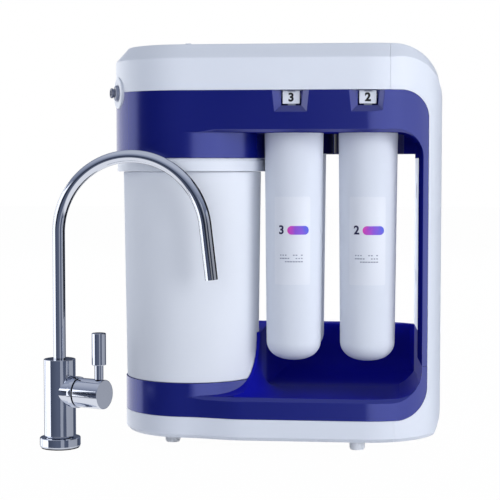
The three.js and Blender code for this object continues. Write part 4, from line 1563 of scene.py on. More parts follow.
    def _cradle(self, tall: Solid) -> Solid:
        """Make the round wall beside the tank, which runs out into the floor and the rear wall.

        Args:
            tall: The tray's outside as a filled body.

        Returns:
            The wall, filled up to the tank's axis.
        """
        tank, low, high = self.plan.tank, self.tray_low, self.levels.tray_back
        floor, fillet, outer = self.levels.tray_floor, self.foot_fillet, self.cradle_outer
        profile: Outline = [(0, low), (outer + fillet, low), (outer + fillet, floor)]
        profile += arc((outer + fillet, floor + fillet), fillet, 270, 180, 6)
        profile += [(outer, high), (0, high)]
        side, back, fillet = tank[0] + outer, self.openings.bay_wall_back, self.corner_fillet
        shape: Outline = [(side - self.cradle_spare, tank[1]), (side, tank[1])]
        shape += arc((side + fillet, back - fillet), fillet, 180, 90, 5)
        shape += [(side + fillet, back + 1), (side - self.cradle_spare, back + 1)]
        ring = Solid.turned(profile, self.segments, tank).joined(Solid.rise(shape, low, high))
        return ring.meet(Solid.block(self.cradle_span, (self.plan.front, back + 1), (low, high)).meet(tall))

    def _cradle_slope(self) -> Solid:
        """Make the cutter that lowers the round wall to the front along a quarter of an ellipse."""
        high, start = self.levels.tray_back, self.scoop_start
        shape: Outline = [(-FAR, self.scoop_low)]
        for along, up in arc((0.0, 0.0), 1.0, -90, 0):
            shape.append((start + self.scoop_long * along, high + (high - self.scoop_low) * up))
        shape += [(start + self.scoop_long, FAR), (-FAR, FAR)]
        return Solid.run_across(shape, -FAR, FAR)

    def _rear_wall(self) -> Solid:
        """Make the tray's rear wall, rounded at its top and filleted at its foot."""
        back, front = self.plan.back, self.openings.bay_wall_back
        top, curve = self.levels.tray_back - self.rear_wall_round, self.rear_wall_round
        foot, edge = front - self.tray_fillet, self.levels.tray_floor + self.tray_fillet
        shape: Outline = [(foot, self.tray_low), (back + 1, self.tray_low), (back + 1, top)]
        shape += arc((back - curve, top), curve, 0, 90, 15)
        shape += arc((front + curve, top), curve, 90, 180, 15)
        shape += [(front, edge), (foot, edge)]
        return Solid.run_across(shape, self.rear_wall_left, self.openings.right)

    def _right_corner(self) -> Solid:
        """Make the block that fills the tray's right-hand corner, higher behind the bay's split."""
        levels, openings = self.levels, self.openings
        across = (openings.bay_right - openings.bay_low_corner - 1, openings.right)
        far = openings.bay_wall_back + 1
        low_part = Solid.block(across, (self.plan.front - 1, far), (self.tray_low, levels.column_low - GAP))
        depths = (openings.bay_split + GAP / 2, far)
        return low_part.joined(Solid.block(across, depths, (self.tray_low, levels.tray_back)))

    def _bay_room(self) -> list[Solid]:
        """Make the cutters for the bay's scooped floor and for its mouth behind the rim."""
        plan, levels, openings = self.plan, self.levels, self.openings
        floor, fillet, back = levels.tray_floor, self.tray_fillet, openings.bay_wall_back
        rim = plan.front + self.rim_thick
        shape: Outline = [(rim, FAR), (rim, levels.rim_top), (rim + self.rim_thick, floor)]
        shape += arc((back - fillet, floor + fillet), fillet, -90, 0) + [(back, FAR)]
        room = Solid.rise(openings.bay_plan())
        left_of_tank = Solid.block((-FAR, plan.tank[0]), z=(0, FAR))
        scoop = plan.through(openings.bay()).meet(room).meet(Solid.run_across(shape, -FAR, FAR))
        scoop = scoop.meet(Solid.rise(plan.base_outline(self.rim_thick)))
        tank_side = Solid.rod(self.cradle_outer, 0, FAR, plan.tank, self.segments)
        mouth = Solid.run_back(openings.rim(), plan.front - 1, plan.front + self.rim_thick * 6).meet(room)
        return [scoop.cut(tank_side, left_of_tank), mouth.cut(left_of_tank)]

    def _underside(self) -> list[Solid]:
        """Make the cutters that hollow the tray, the seat and the rear wall from below."""
        plan, levels, right = self.plan, self.levels, self.openings.right
        under = Solid.rise(plan.base_outline(WALL), 0, levels.tray_floor - WALL)
        under = under.meet(Solid.block((-FAR, right - WALL - 8), z=(0, FAR)))
        seat = Solid.rod(self.seat_radius - WALL, 0, levels.seat_top - WALL, plan.tank, self.segments)
        depths = (self.openings.bay_wall_back + WALL, plan.back - WALL)
        rear = Solid.block((self.rear_wall_left + WALL, right - 30), depths, (0, levels.tray_back - WALL))
        return [under, seat, rear.meet(Solid.rise(plan.base_outline(WALL)))]

    def _tray(self) -> Solid:
        """Make the lower tray with the tank's seat and cradle."""
        plan, levels, tank = self.plan, self.levels, self.plan.tank
        blue = plan.through(self.openings.blue())
        heights = (levels.rim_top, levels.tray_back)
        deck, tall = [Solid.rise(plan.base_outline(), self.tray_low, top).meet(blue) for top in heights]
        seat = Solid.rod(self.seat_radius, self.tray_low, levels.seat_top, tank, self.segments).meet(tall)
        room = Solid.rod(self.cradle_inner, 0, FAR, tank, self.segments)
        cradle = self._cradle(tall).cut(room, self._cradle_slope(), self._rim_chamfer())
        above_seat = room.meet(Solid.block((-FAR, 0), z=(levels.rim_top, FAR)))
        walls = deck.joined(tall.meet(self._rear_wall()), tall.meet(self._right_corner()))
        walls = walls.cut(above_seat, *self._bay_room(), self._rim_chamfer())
        return walls.joined(seat, cradle).cut(*self._underside())

    def build(self) -> None:
        """Make the housing, the liner and the tray."""
        shop, edges, nodes = self.shop, Edges(0.25), ["upper_housing", "side_bezel"]
        frame = shop.piece("upper_frame", self._housing(), Finish.NAVY, "navy", nodes, edges=edges)
        shop.piece("bay_liner", self._liner(), Finish.LINER, "white_shell", ["rear_liner"], edges=edges)
        tray = shop.piece("tray", self._tray(), Finish.NAVY, "navy", ["lower_tray"], edges=Edges(0.3))
        # Faces inside the bay get lighter navys: painted light for the shade in the bay.
        shop.line(frame, Finish.DULL_NAVY, self._inside_bay)
        shop.line(tray, Finish.BAY_NAVY, self._inside_bay)

    def _inside_bay(self, middle: Vector, normal: Vector) -> bool:
        """Tell whether a face looks into the bay.

        Args:
            middle: The face's middle.
            normal: Its normal.

        Returns:
            True where the face takes the lighter navy, painted light for the shade inside the bay.
        """
        plan, levels = self.plan, self.levels
        lip, rear_turn, tank_clear, upper_half = 9, 45, 0.4, levels.seat_top + 100
        front = plan.base_face(middle.x) + self.rim_thick / 2
        faces_in = normal.y > -0.3 or middle.y > front + lip
        faces_out = normal.y > 0.1 and middle.y > plan.back - rear_turn
        round_tank = plan.left_radius if middle.z > upper_half else self.seat_radius
        off_tank = math.dist((middle.x, middle.y), plan.tank) > round_tank + tank_clear
        deep = front < middle.y < plan.back - 4
        across = plan.tank[0] < middle.x < self.openings.bay_right + 1
        upright = levels.tray_floor - 1 < middle.z < levels.band_low + 1
        return faces_in and not faces_out and off_tank and deep and across and upright


@dataclass
class Feet:
    """The four round feet, set out by rule."""

    shop: Shop
    radius: float = 8.0
    height: float = 11.1
    sole: float = 1.6
    sole_inset: float = 0.8
    places: tuple[Point, ...] = ((-111, -42), (87.5, -66.5), (-111, 66), (87.5, 75))

    def build(self) -> None:
        """Make the feet as one piece."""
        rule = GrownMesh("feet_rule", {"Radius": self.radius, "Height": self.height, "Sole": self.sole})
        radius, height, sole = rule.size["Radius"], rule.size["Height"], rule.size["Sole"]
        parts = []
        for low, tall, wide in ((sole, height - sole, radius), (0.0, sole, radius - self.sole_inset)):
            sizes = {"Vertices": 48, "Radius": wide, "Depth": tall}
            pin = rule.node("GeometryNodeMeshCylinder", {}, sizes, "Mesh")
            lift = rule.node("ShaderNodeCombineXYZ", {}, {"Z": tall * 0.5 + low})
            parts.append(rule.node("GeometryNodeTransform", {}, {"Geometry": pin, "Translation": lift}))
        spots = []
        for x, y in self.places:
            spots.append(rule.node("GeometryNodePoints", {}, {"Count": 1, "Position": (x, y, 0.0)}))
        feet = {"Points": rule.gathered(spots), "Instance": rule.gathered(parts)}
        # The feet's lighter white is painted light for the shade under the base.
        rule.close(rule.node("GeometryNodeInstanceOnPoints", {}, feet), Finish.FOOT)
        names = [f"foot_{end}_{side}" for end in ("front", "rear") for side in ("left", "right")]
        self.shop.piece("feet", rule.grow(), Finish.FOOT, "foot_white", names, edges=Edges(0.5))


# The tank and the cartridges


@dataclass
class Tank:
    """The storage tank with its collar."""

    shop: Shop
    plan: Footprint = Footprint()
    low: float = 69.6
    low_radius: float = 71.4
    high: float = 290.0
    high_radius: float = 74.3
    collar_high: float = 304.1
    collar_radius: float = 81.0
    collar_bore: float = 66.3

    def build(self) -> None:
        """Make the vessel and the collar."""
        vessel = [
            (0, self.low),
            (self.low_radius, self.low),
            (self.high_radius, self.high),
            (self.high_radius - WALL, self.high),
            (self.low_radius - WALL, self.low + WALL),
            (0, self.low + WALL),
        ]
        low = self.high + GAP
        ring = [
            (self.collar_bore, low),
            (self.collar_radius, low),
            (self.collar_radius - 0.2, self.collar_high - 2.2),
            (self.collar_radius - 1.0, self.collar_high - 1.6),
            (self.collar_radius - 1.0, self.collar_high),
            (self.collar_bore, self.collar_high),
        ]
        for name, profile, finish, slot, node in (
            ("tank_wall", eased(vessel, 1.0, 6), Finish.TANK, "tank_white", "tank_vessel"),
            ("tank_ring", eased(ring, 0.9, 4), Finish.SHELL, "white_shell", "tank_collar"),
        ):
            self.shop.piece(name, Solid.turned(profile, 192, self.plan.tank), finish, slot, [node])


@dataclass
class LabelPrint:
    """A label bent round a cartridge: film, a blended bar, a numeral and rows of grey marks."""

    UV_NAME = "LabelChart"

    shop: Shop
    station: Station
    radius_at: Callable[[float], float]
    half_wide: float = 20.0
    low: float = 172.0
    high: float = 264.0
    film: float = 0.18
    ink: float = 0.1
    strip: float = 1.5
    corner: float = 2.0
    lift: float = 0.02
    ink_lift: float = 0.07
    mark_size: Point = (2.1, 1.2)
    mark_gaps: Point = (0.7, 3.4)
    mark_rows: int = 3
    mark_columns: int = 9
    mark_spread: Point = (0.7, 1.3)
    mark_share: float = 0.86
    marks_at: Point = (-1.0, 0.3)
    digit: float = 12.5
    digit_at: Point = (-11.5, 0.62)
    bar_x: Point = (-5.0, 18.0)
    bar_y: Point = (0.57, 0.67)
    bar_corner: float = 4.55

    def _bent(self, body: Solid, lift: float) -> Solid:
        """Bend a flat body of millimetres, drawn as width, height and thickness, round the cartridge.

        Args:
            body: The flat body; its Z is the distance off the surface.
            lift: How far off the surface it starts.

        Returns:
            The bent body.
        """
        work = bmesh.new()
        work.from_mesh(body.mesh)
        wide, tall = 2 * self.half_wide, self.high - self.low
        reach = int(self.half_wide / self.strip) + 1
        for i in range(-reach, reach + 1):
            every = list(work.verts) + list(work.edges) + list(work.faces)
            bmesh.ops.bisect_plane(work, geom=every, plane_co=(i * self.strip, 0, 0), plane_no=(1, 0, 0))
        chart = work.loops.layers.uv.new(self.UV_NAME)
        for loop in (loop for face in work.faces for loop in face.loops):
            loop[chart].uv = (loop.vert.co.x / wide + 0.5, loop.vert.co.y / tall)
        side = self.station.side
        for vert in work.verts:
            height = self.low + vert.co.y
            radius = self.radius_at(height) + lift + vert.co.z
            angle = vert.co.x / self.radius_at(height)
            x = self.station.x - side * radius * math.sin(angle)
            vert.co = (x, self.station.y + side * radius * math.cos(angle), height)
        work.to_mesh(body.mesh)
        work.free()
        return body

    def _marks(self) -> Solid:
        """Set out the rows of grey marks by rule."""
        sizes = {"Rows": self.mark_rows, "Columns": self.mark_columns}
        sizes |= {"Wide": self.mark_size[0], "Tall": self.mark_size[1], "Deep": self.ink}
        rule = GrownMesh("label_marks_rule", sizes)
        rows, columns, wide, tall, deep = [rule.size[name] for name in sizes]
        inputs = {"Size X": (columns - 1) * (wide + self.mark_gaps[0]), "Vertices X": columns}
        inputs |= {"Size Y": (rows - 1) * self.mark_gaps[1], "Vertices Y": rows}
        grid = rule.node("GeometryNodeMeshGrid", {}, inputs, "Mesh")
        size = rule.node("ShaderNodeCombineXYZ", {}, {0: wide, 1: tall, 2: deep})
        mark = rule.node("GeometryNodeMeshCube", {}, {"Size": size}, "Mesh")
        least, most = self.mark_spread
        share = rule.node("FunctionNodeRandomValue", {}, {2: least, 3: most, "Seed": 7}, 1)
        scale = rule.node("ShaderNodeCombineXYZ", {}, {0: share, 1: 1.0, 2: 1.0})
        inputs = {"Probability": self.mark_share, "Seed": 3}
        kept = rule.node("FunctionNodeRandomValue", {"data_type": "BOOLEAN"}, inputs, 3)
        inputs = {"Points": grid, "Instance": mark, "Scale": scale, "Selection": kept}
        rule.close(rule.node("GeometryNodeInstanceOnPoints", {}, inputs), Finish.GREY_INK)
        return rule.grow()

    def build(self) -> None:
        """Make the label's four pieces."""
        number, rides = self.station.number, f"cartridge_{self.station.number}"
        tall, top = self.high - self.low, self.film + self.ink_lift
        film = rounded((-self.half_wide, 0), (self.half_wide, tall), [self.corner] * 4, 15)
        bar_low, bar_high = [(x, tall * y) for x, y in zip(self.bar_x, self.bar_y)]
        bar = rounded(bar_low, bar_high, [self.bar_corner] * 4, 10)
        marks = self._marks().moved(shifted(self.marks_at[0], tall * self.marks_at[1]))
        digit = numeral(str(number), self.digit, self.ink, (self.digit_at[0], tall * self.digit_at[1]))
        for part, body, lift, finish in (
            ("film", Solid.rise(film, 0, self.film), self.lift, Finish.LABEL),
            ("bar", Solid.rise(bar, 0, self.ink), self.film + self.lift, Finish.BLEND_INK),
            ("marks", marks, top, Finish.GREY_INK),
            ("numeral", digit, top, Finish.INK),
        ):
            bent = self._bent(body, lift)
            self.shop.piece(f"label_{number}_{part}", bent, finish, "cartridge_white", rides=rides)


def numeral(text: str, size: float, thick: float, place: Point, weight: float = 0.03) -> Solid:
    """Make a plain numeral as a flat body.

    Args:
        text: The numeral.
        size: The font's size in millimetres.
        thick: The body's thickness.
        place: The middle of the numeral.
        weight: How far its strokes are drawn out, as a share of the size.

    Returns:
        The body, upright in XY.
    """
    curve = bpy.data.curves.new("numeral", "FONT")
    curve.body = text
    curve.size = size
    curve.extrude = thick / 2
    curve.offset = size * weight
    curve.resolution_u = 6
    curve.align_x = "CENTER"
    curve.align_y = "CENTER"
    item = placed("numeral", curve)
    mesh = evaluated_mesh(item)
    bpy.data.objects.remove(item)
    mesh.transform(Matrix.Translation((place[0], place[1], thick / 2)))
    return Solid(mesh).tidied(1e-3)


@dataclass
class Cartridges:
    """The four hanging cartridges, each with its label."""

    shop: Shop
    low: float = 90.0
    top: float = 338.0
    dome: float = 20.0
    low_radius: float = 28.9
    high_radius: float = 31.2
    wall: float = 2.4
    dome_steps: int = 20
    wall_steps: int = 4
    dome_power: float = 0.8
    floor_share: float = 0.7

    def radius_at(self, height: float) -> float:
        """Give the outside radius above the dome."""
        share = (height - self.low - self.dome) / (self.top - self.low - self.dome)
        return self.low_radius + (self.high_radius - self.low_radius) * share

    def _shell(self, station: Station) -> Solid:
        """Make one cartridge's case.

        Args:
            station: Where it hangs.

        Returns:
            The case, open at its top.
        """
        profile: Outline = []
        for i in range(self.dome_steps + 1):
            angle = math.radians(90 / self.dome_steps * i)
            outward = math.sin(angle) ** self.dome_power
            profile.append((self.low_radius * outward, self.low + self.dome * (1 - math.cos(angle))))
        for i in range(1, self.wall_steps + 1):
            height = self.low + self.dome + (self.top - self.low - self.dome) * i / self.wall_steps
            profile.append((self.radius_at(height), height))
        inner = self.low_radius - self.wall
        profile += [(self.high_radius - self.wall, self.top), (inner, self.low + self.dome)]
        profile += [(inner * self.floor_share, self.low + self.wall + 4), (0, self.low + self.wall)]
        return Solid.turned(profile, 96, station.place)

    def build(self) -> None:
        """Make the cartridges and their labels."""
        for station in STATIONS:
            name, case = f"cartridge_{station.number}", self._shell(station)
            nodes = [f"{name}_shell"]
            self.shop.piece(f"{name}_case", case, Finish.CARTRIDGE, "cartridge_white", nodes, name)
            LabelPrint(self.shop, station, self.radius_at).build()


@dataclass
class Sockets:
    """The round sockets that the cartridges hang in."""

    shop: Shop
    front_low: float = 343.0
    front_radius: float = 30.0
    mouth: float = 20.0
    rear_low: float = 309.5
    rear_radius: float = 38.6
    rear_bore: float = 35.0
    high: float = 351.7
    roof: float = 4.0

    def build(self) -> None:
        """Make the four sockets."""
        for station in STATIONS:
            start, turns = (self.mouth, self.front_low), [self.front_radius, self.high, self.mouth]
            if station.side > 0:
                start = (self.rear_bore, self.rear_low)
                turns = [self.rear_radius, self.high, self.mouth, self.high - self.roof, self.rear_bore]
            body = Solid.turned(eased(stepped(start, *turns), 1.0), 96, station.place)
            name = f"socket_{station.number}"
            self.shop.piece(f"{name}_cup", body, Finish.DEEP_NAVY, "deep_navy", [name])


@dataclass
class Buttons:
    """The four release buttons with their numerals."""

    shop: Shop
    wide: float = 17.5
    tall: float = 13.6
    low: float = 359.6
    deep: float = 5.0
    inset: float = 9.0
    corner: float = 0.8
    slot_half: float = 4.0
    slot_deep: float = 1.3
    digit: float = 11.8
    digit_weight: float = 0.045
    digit_thick: float = 0.16
    digit_sunk: float = 0.04
    digit_middle: float = 0.46

    def build(self) -> None:
        """Make the buttons."""
        half, top = self.wide / 2, self.tall
        outline = rounded((-half, 0), (half, top), [self.corner] * 4, 15)
        depths = (-1, self.deep - 1)
        slot = Solid.block((-self.slot_half, self.slot_half), depths, (top - self.slot_deep, top + 1))
        plate = Solid.run_back(outline, 0, self.deep).cut(slot)
        upright = shifted(0, self.digit_sunk, top * self.digit_middle) @ turned_about("X", 90)
        for station in STATIONS:
            number = station.number
            face, turn = station.side * Footprint().back, turned_about("Z", 180 if station.side > 0 else 0)
            place = shifted(station.x, face, self.low) @ turn @ shifted(y=self.inset)
            digit = numeral(str(number), self.digit, self.digit_thick, (0, 0), self.digit_weight)
            for part, body, finish, nodes, edges in (
                ("plate", plate.moved(place), Finish.BUTTON, [f"release_button_{number}"], Edges(0.5, 3)),
                ("numeral", digit.moved(place @ upright), Finish.BLACK_INK, [], None),
            ):
                name, rides = f"button_{number}_{part}", f"button_{number}"
                self.shop.piece(name, body, finish, "button_white", nodes, rides, edges)


@dataclass
class SidePort:
    """The push-fit port on the left: escutcheon, body and release collet."""

    shop: Shop
    plan: Footprint = Footprint()
    angle: float = 65.0
    height: float = 373.0
    radius: float = 16.4
    deep: float = 4.0
    face: float = 1.2
    body_radius: float = 8.2
    body_deep: float = 3.0
    body_face: float = 4.2
    collet_radius: float = 4.4
    lip_radius: float = 5.3
    lip_from: float = 6.5
    lip_to: float = 8.6
    bore: float = 3.3
    hole_to: float = 20.0
    ring_slant: float = 0.6
    bore_slant: Point = (1.0, 0.8)
    body_slant: float = 1.0
    lip_slant: float = 0.4
    inner_end: float = -1.0
    ease: float = 0.5
    segments: int = 72

    def _axis(self) -> Matrix:
        """Give the port's place, with Z along its axis outwards."""
        turn = math.radians(self.angle)
        x = self.plan.tank[0] - self.plan.left_radius * math.sin(turn)
        y = self.plan.tank[1] - self.plan.left_radius * math.cos(turn)
        return shifted(x, y, self.height) @ (turned_about("Z", 90 - self.angle) @ turned_about("Y", -90))

    def hole(self) -> Solid:
        """Make the cutter for the port's hole."""
        return Solid.rod(self.radius + GAP, -self.deep - GAP, self.hole_to).moved(self._axis())

    def build(self) -> None:
        """Make the port's three pieces."""
        bore = self.body_radius + GAP
        ring = [
            (bore, -self.deep),
            (self.radius, -self.deep),
            (self.radius, self.face - self.ring_slant),
            (self.radius - self.ring_slant, self.face),
            (bore + self.bore_slant[0], self.face),
            (bore, self.face - self.bore_slant[1]),
        ]
        inner = self.collet_radius + GAP
        body = [
            (inner, -self.body_deep),
            (self.body_radius, -self.body_deep),
            (self.body_radius, self.body_face - self.body_slant),
            (self.body_radius - self.body_slant, self.body_face),
            (inner, self.body_face),
        ]
        collet = [
            (self.bore, self.inner_end),
            (self.collet_radius, self.inner_end),
            (self.collet_radius, self.lip_from - self.lip_slant),
            (self.lip_radius, self.lip_from),
            (self.lip_radius, self.lip_to),
            (self.bore, self.lip_to),
        ]
        for name, profile, finish, slot, rides in (
            ("port_escutcheon", ring, Finish.SHELL, "white_shell", "root"),
            ("port_body", body, Finish.PORT, "port_grey", "root"),
            ("port_collet", collet, Finish.COLLET, "port_grey", "port_collet"),
        ):
            solid = Solid.turned(eased(profile, self.ease), self.segments).moved(self._axis())
            self.shop.piece(f"{name}_turned", solid, finish, slot, [name], rides)


# The tap


@dataclass
class Tap:
    """The gooseneck tap."""

    shop: Shop
    place: Point = (-224.5, -85.5)
    base_radius: float = 21.35
    base_top: float = 11.0
    base_bore: float = 8.0
    body_radius: float = 16.6
    body_top: float = 93.7
    spigot_play: float = 0.5
    spigot_deep: float = 8.0
    stub_radius: float = 14.4
    stub_flange: float = 20.0
    stub_end: float = 25.0
    foot_groove: float = 1.5
    flange_wide: float = 1.2
    waterway: float = 4.0
    valve_room: float = 11.0
    valve_height: float = 60.0
    valve_yaw: float = -23.3
    barrel_radius: float = 15.3
    barrel_from: float = 26.0
    barrel_to: float = 57.0
    spindle_radius: float = 6.0
    spindle_end: float = 30.0
    lever_at: float = 50.0
    stem_radius: float = 4.6
    stem_top: float = 30.0
    grip_radius: float = 7.4
    grip_top: float = 63.7
    base_step: float = 0.4
    base_groove: Point = (1.0, 1.4)
    path_points: int = 260
    ring_points: int = 48
    spout_radius: float = 6.5
    spout_bore: float = 4.8
    bend: float = 80.0
    bend_height: float = 226.0
    sweep: float = 173.2
    tail: float = 56.0
    spout_yaw: float = -8.8

    def _stand(self) -> Matrix:
        """Give the tap's place."""
        return shifted(*self.place)

    def _valve_axis(self) -> Matrix:
        """Give the valve's place, with Z along its axis."""
        spin = turned_about("Z", self.valve_yaw) @ turned_about("Y", 90)
        return self._stand() @ shifted(z=self.valve_height) @ spin

    def _lever_axis(self) -> Matrix:
        """Give the lever's place on the barrel, with Z up."""
        spin = turned_about("Z", self.valve_yaw)
        return self._stand() @ shifted(z=self.valve_height) @ spin @ shifted(self.lever_at)

    def _neck_rule(self) -> GrownMesh:
        """Make the rule for a bar that rises, bends over and runs down."""
        start = self.body_top - self.spigot_deep
        sizes = {"Radius": self.spout_radius, "Start": start, "Riser": self.bend_height - start}
        sizes |= {"Bend": self.bend, "Sweep": math.radians(self.sweep), "Tail": self.tail}
        rule = GrownMesh("spout_rule", sizes)
        size = rule.size
        line = rule.node("GeometryNodeCurvePrimitiveLine", {}, {"End": (0.0, 0.0, 1.0)})
        path = rule.node("GeometryNodeResampleCurve", {}, {"Curve": line, "Count": self.path_points})
        share = rule.node("GeometryNodeSplineParameter", {}, {}, "Factor")
        bend_long = size["Bend"] * size["Sweep"]
        run = share * (size["Riser"] + bend_long + size["Tail"])
        turn = ((run - size["Riser"]) / size["Bend"]).most(0.0).least(size["Sweep"])
        rest = (run - size["Riser"] - bend_long).most(0.0)
        across = size["Bend"] * (1 - turn.maths("COSINE", turn)) + rest * turn.maths("SINE", turn)
        up = size["Start"] + run.least(size["Riser"]) + size["Bend"] * turn.maths("SINE", turn)
        up = up + rest * turn.maths("COSINE", turn)
        place = rule.node("ShaderNodeCombineXYZ", {}, {"X": across, "Z": up})
        bent = rule.node("GeometryNodeSetPosition", {}, {"Geometry": path, "Position": place})
        sizes = {"Resolution": self.ring_points, "Radius": size["Radius"]}
        ring = rule.node("GeometryNodeCurvePrimitiveCircle", {}, sizes)
        bar = rule.node("GeometryNodeCurveToMesh", {}, {0: bent, 1: ring, "Fill Caps": True})
        rule.close(bar, Finish.CHROME)
        return rule

    def _spout(self) -> Solid:
        """Make the spout as a pipe."""
        rule = self._neck_rule()
        start = self.body_top - self.spigot_deep
        bars = []
        for radius, spare in ((self.spout_radius, 0.0), (self.spout_bore, 1.0)):
            riser = self.bend_height - start + spare
            bar = rule.grow(Radius=radius, Start=start - spare, Riser=riser, Tail=self.tail + spare)
            bars.append(bar.tidied(1e-3))
        pipe = bars[0].cut(bars[1])
        return pipe.moved(self._stand() @ turned_about("Z", self.spout_yaw))

    def _body(self) -> Solid:
        """Make the column with the stub for the valve."""
        low, top = self.base_top + GAP, self.body_top
        column = stepped((0, low), self.body_radius - 2, low + self.foot_groove, self.body_radius, top, 0)
        flange = self.barrel_radius + self.flange_wide
        stub = stepped((0, 0), self.stub_radius, self.stub_flange, flange, self.stub_end, 0)
        body = Solid.turned(eased(column, 0.8), 96).moved(self._stand())
        body = body.joined(Solid.turned(eased(stub, 0.6), 96).moved(self._valve_axis()))
        bore = self.spout_radius + self.spigot_play
        spigot = Solid.rod(bore, top - self.spigot_deep - 2, top + 20, self.place)
        waterway = Solid.rod(self.waterway, 0, top - self.spigot_deep, self.place)
        room = Solid.rod(self.valve_room, 4, self.stub_end + 5).moved(self._valve_axis())
        return body.cut(spigot, waterway, room)

    def build(self) -> None:
        """Make the tap's pieces."""
        low = 1 + GAP
        base = [
            (self.base_bore, low),
            (self.base_radius - self.base_step, low),
            (self.base_radius - self.base_step, low + self.base_groove[0]),
            (self.base_radius, low + self.base_groove[1]),
            (self.base_radius, self.base_top),
            (self.base_bore, self.base_top),
        ]
        play, radius = self.spindle_radius + 0.4, self.barrel_radius
        barrel = stepped((0, self.spindle_end + 1), play, self.barrel_from, radius, self.barrel_to, 0)
        stem = stepped((0, radius + GAP), self.stem_radius, self.stem_top, 0)
        grip = stepped((0, self.stem_top + GAP), self.grip_radius, self.grip_top, 0)
        for name, solid, rides in (
            ("tap_base", Solid.turned(eased(base, 1.0), 96).moved(self._stand()), "root"),
            ("tap_body", self._body(), "root"),
            ("tap_spout", self._spout(), "tap_spout"),
            ("tap_barrel", Solid.turned(eased(barrel, 0.9), 96).moved(self._valve_axis()), "tap_lever"),
            ("tap_lever_stem", Solid.turned(stem, 48).moved(self._lever_axis()), "tap_lever"),
            ("tap_lever_grip", Solid.turned(eased(grip, 1.0), 64).moved(self._lever_axis()), "tap_lever"),
        ):
            self.shop.piece(f"{name}_plated", solid, Finish.CHROME, "chrome", [name], rides)


@dataclass
class Workings:
    """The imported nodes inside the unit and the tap, which keep their shapes."""

    shop: Shop

    def build(self) -> None:
        """Give each node its finish."""
        shop = self.shop
        for station in STATIONS:
            number = station.number
            shop.dress(Finish.NECK, f"cartridge_{number}_neck")
            shop.dress(Finish.CARBON, f"cartridge_{number}_core")
            shop.dress(Finish.RING, f"valve_ring_{number}")
            shop.dress(Finish.STEEL, f"button_spring_{number}")
        shop.dress(Finish.DEEP_NAVY, "manifold_head")
        shop.dress(Finish.NAVY, "tank_head")
        shop.dress(Finish.RUBBER, "tank_bladder", "tap_gasket")
        shop.dress(Finish.CERAMIC, "tap_valve_core")
        shop.dress(Finish.NECK, "tap_outlet")


# The studio


class RayKind(Enum):
    """What a light ray does when it meets the surroundings."""

    CAMERA = "Is Camera Ray"
    GLOSSY = "Is Glossy Ray"
    TRANSMISSION = "Is Transmission Ray"


@dataclass(frozen=True)
class Lamp:
    """A soft lamp, placed by its compass bearing from the front, its height and its distance."""

    name: str
    bearing: float
    rise: float
    power: float
    wide: float = 1.6
    tall: float = 1.6
    away: float = 3.2

    def place(self, target: Vector) -> Vector:
        """Give the lamp's place.

        Args:
            target: What it shines at.

        Returns:
            The place.
        """
        turn, lift = math.radians(self.bearing), math.radians(self.rise)
        way = Vector((math.sin(turn) * math.cos(lift), -math.cos(turn) * math.cos(lift), math.sin(lift)))
        return target + way * self.away


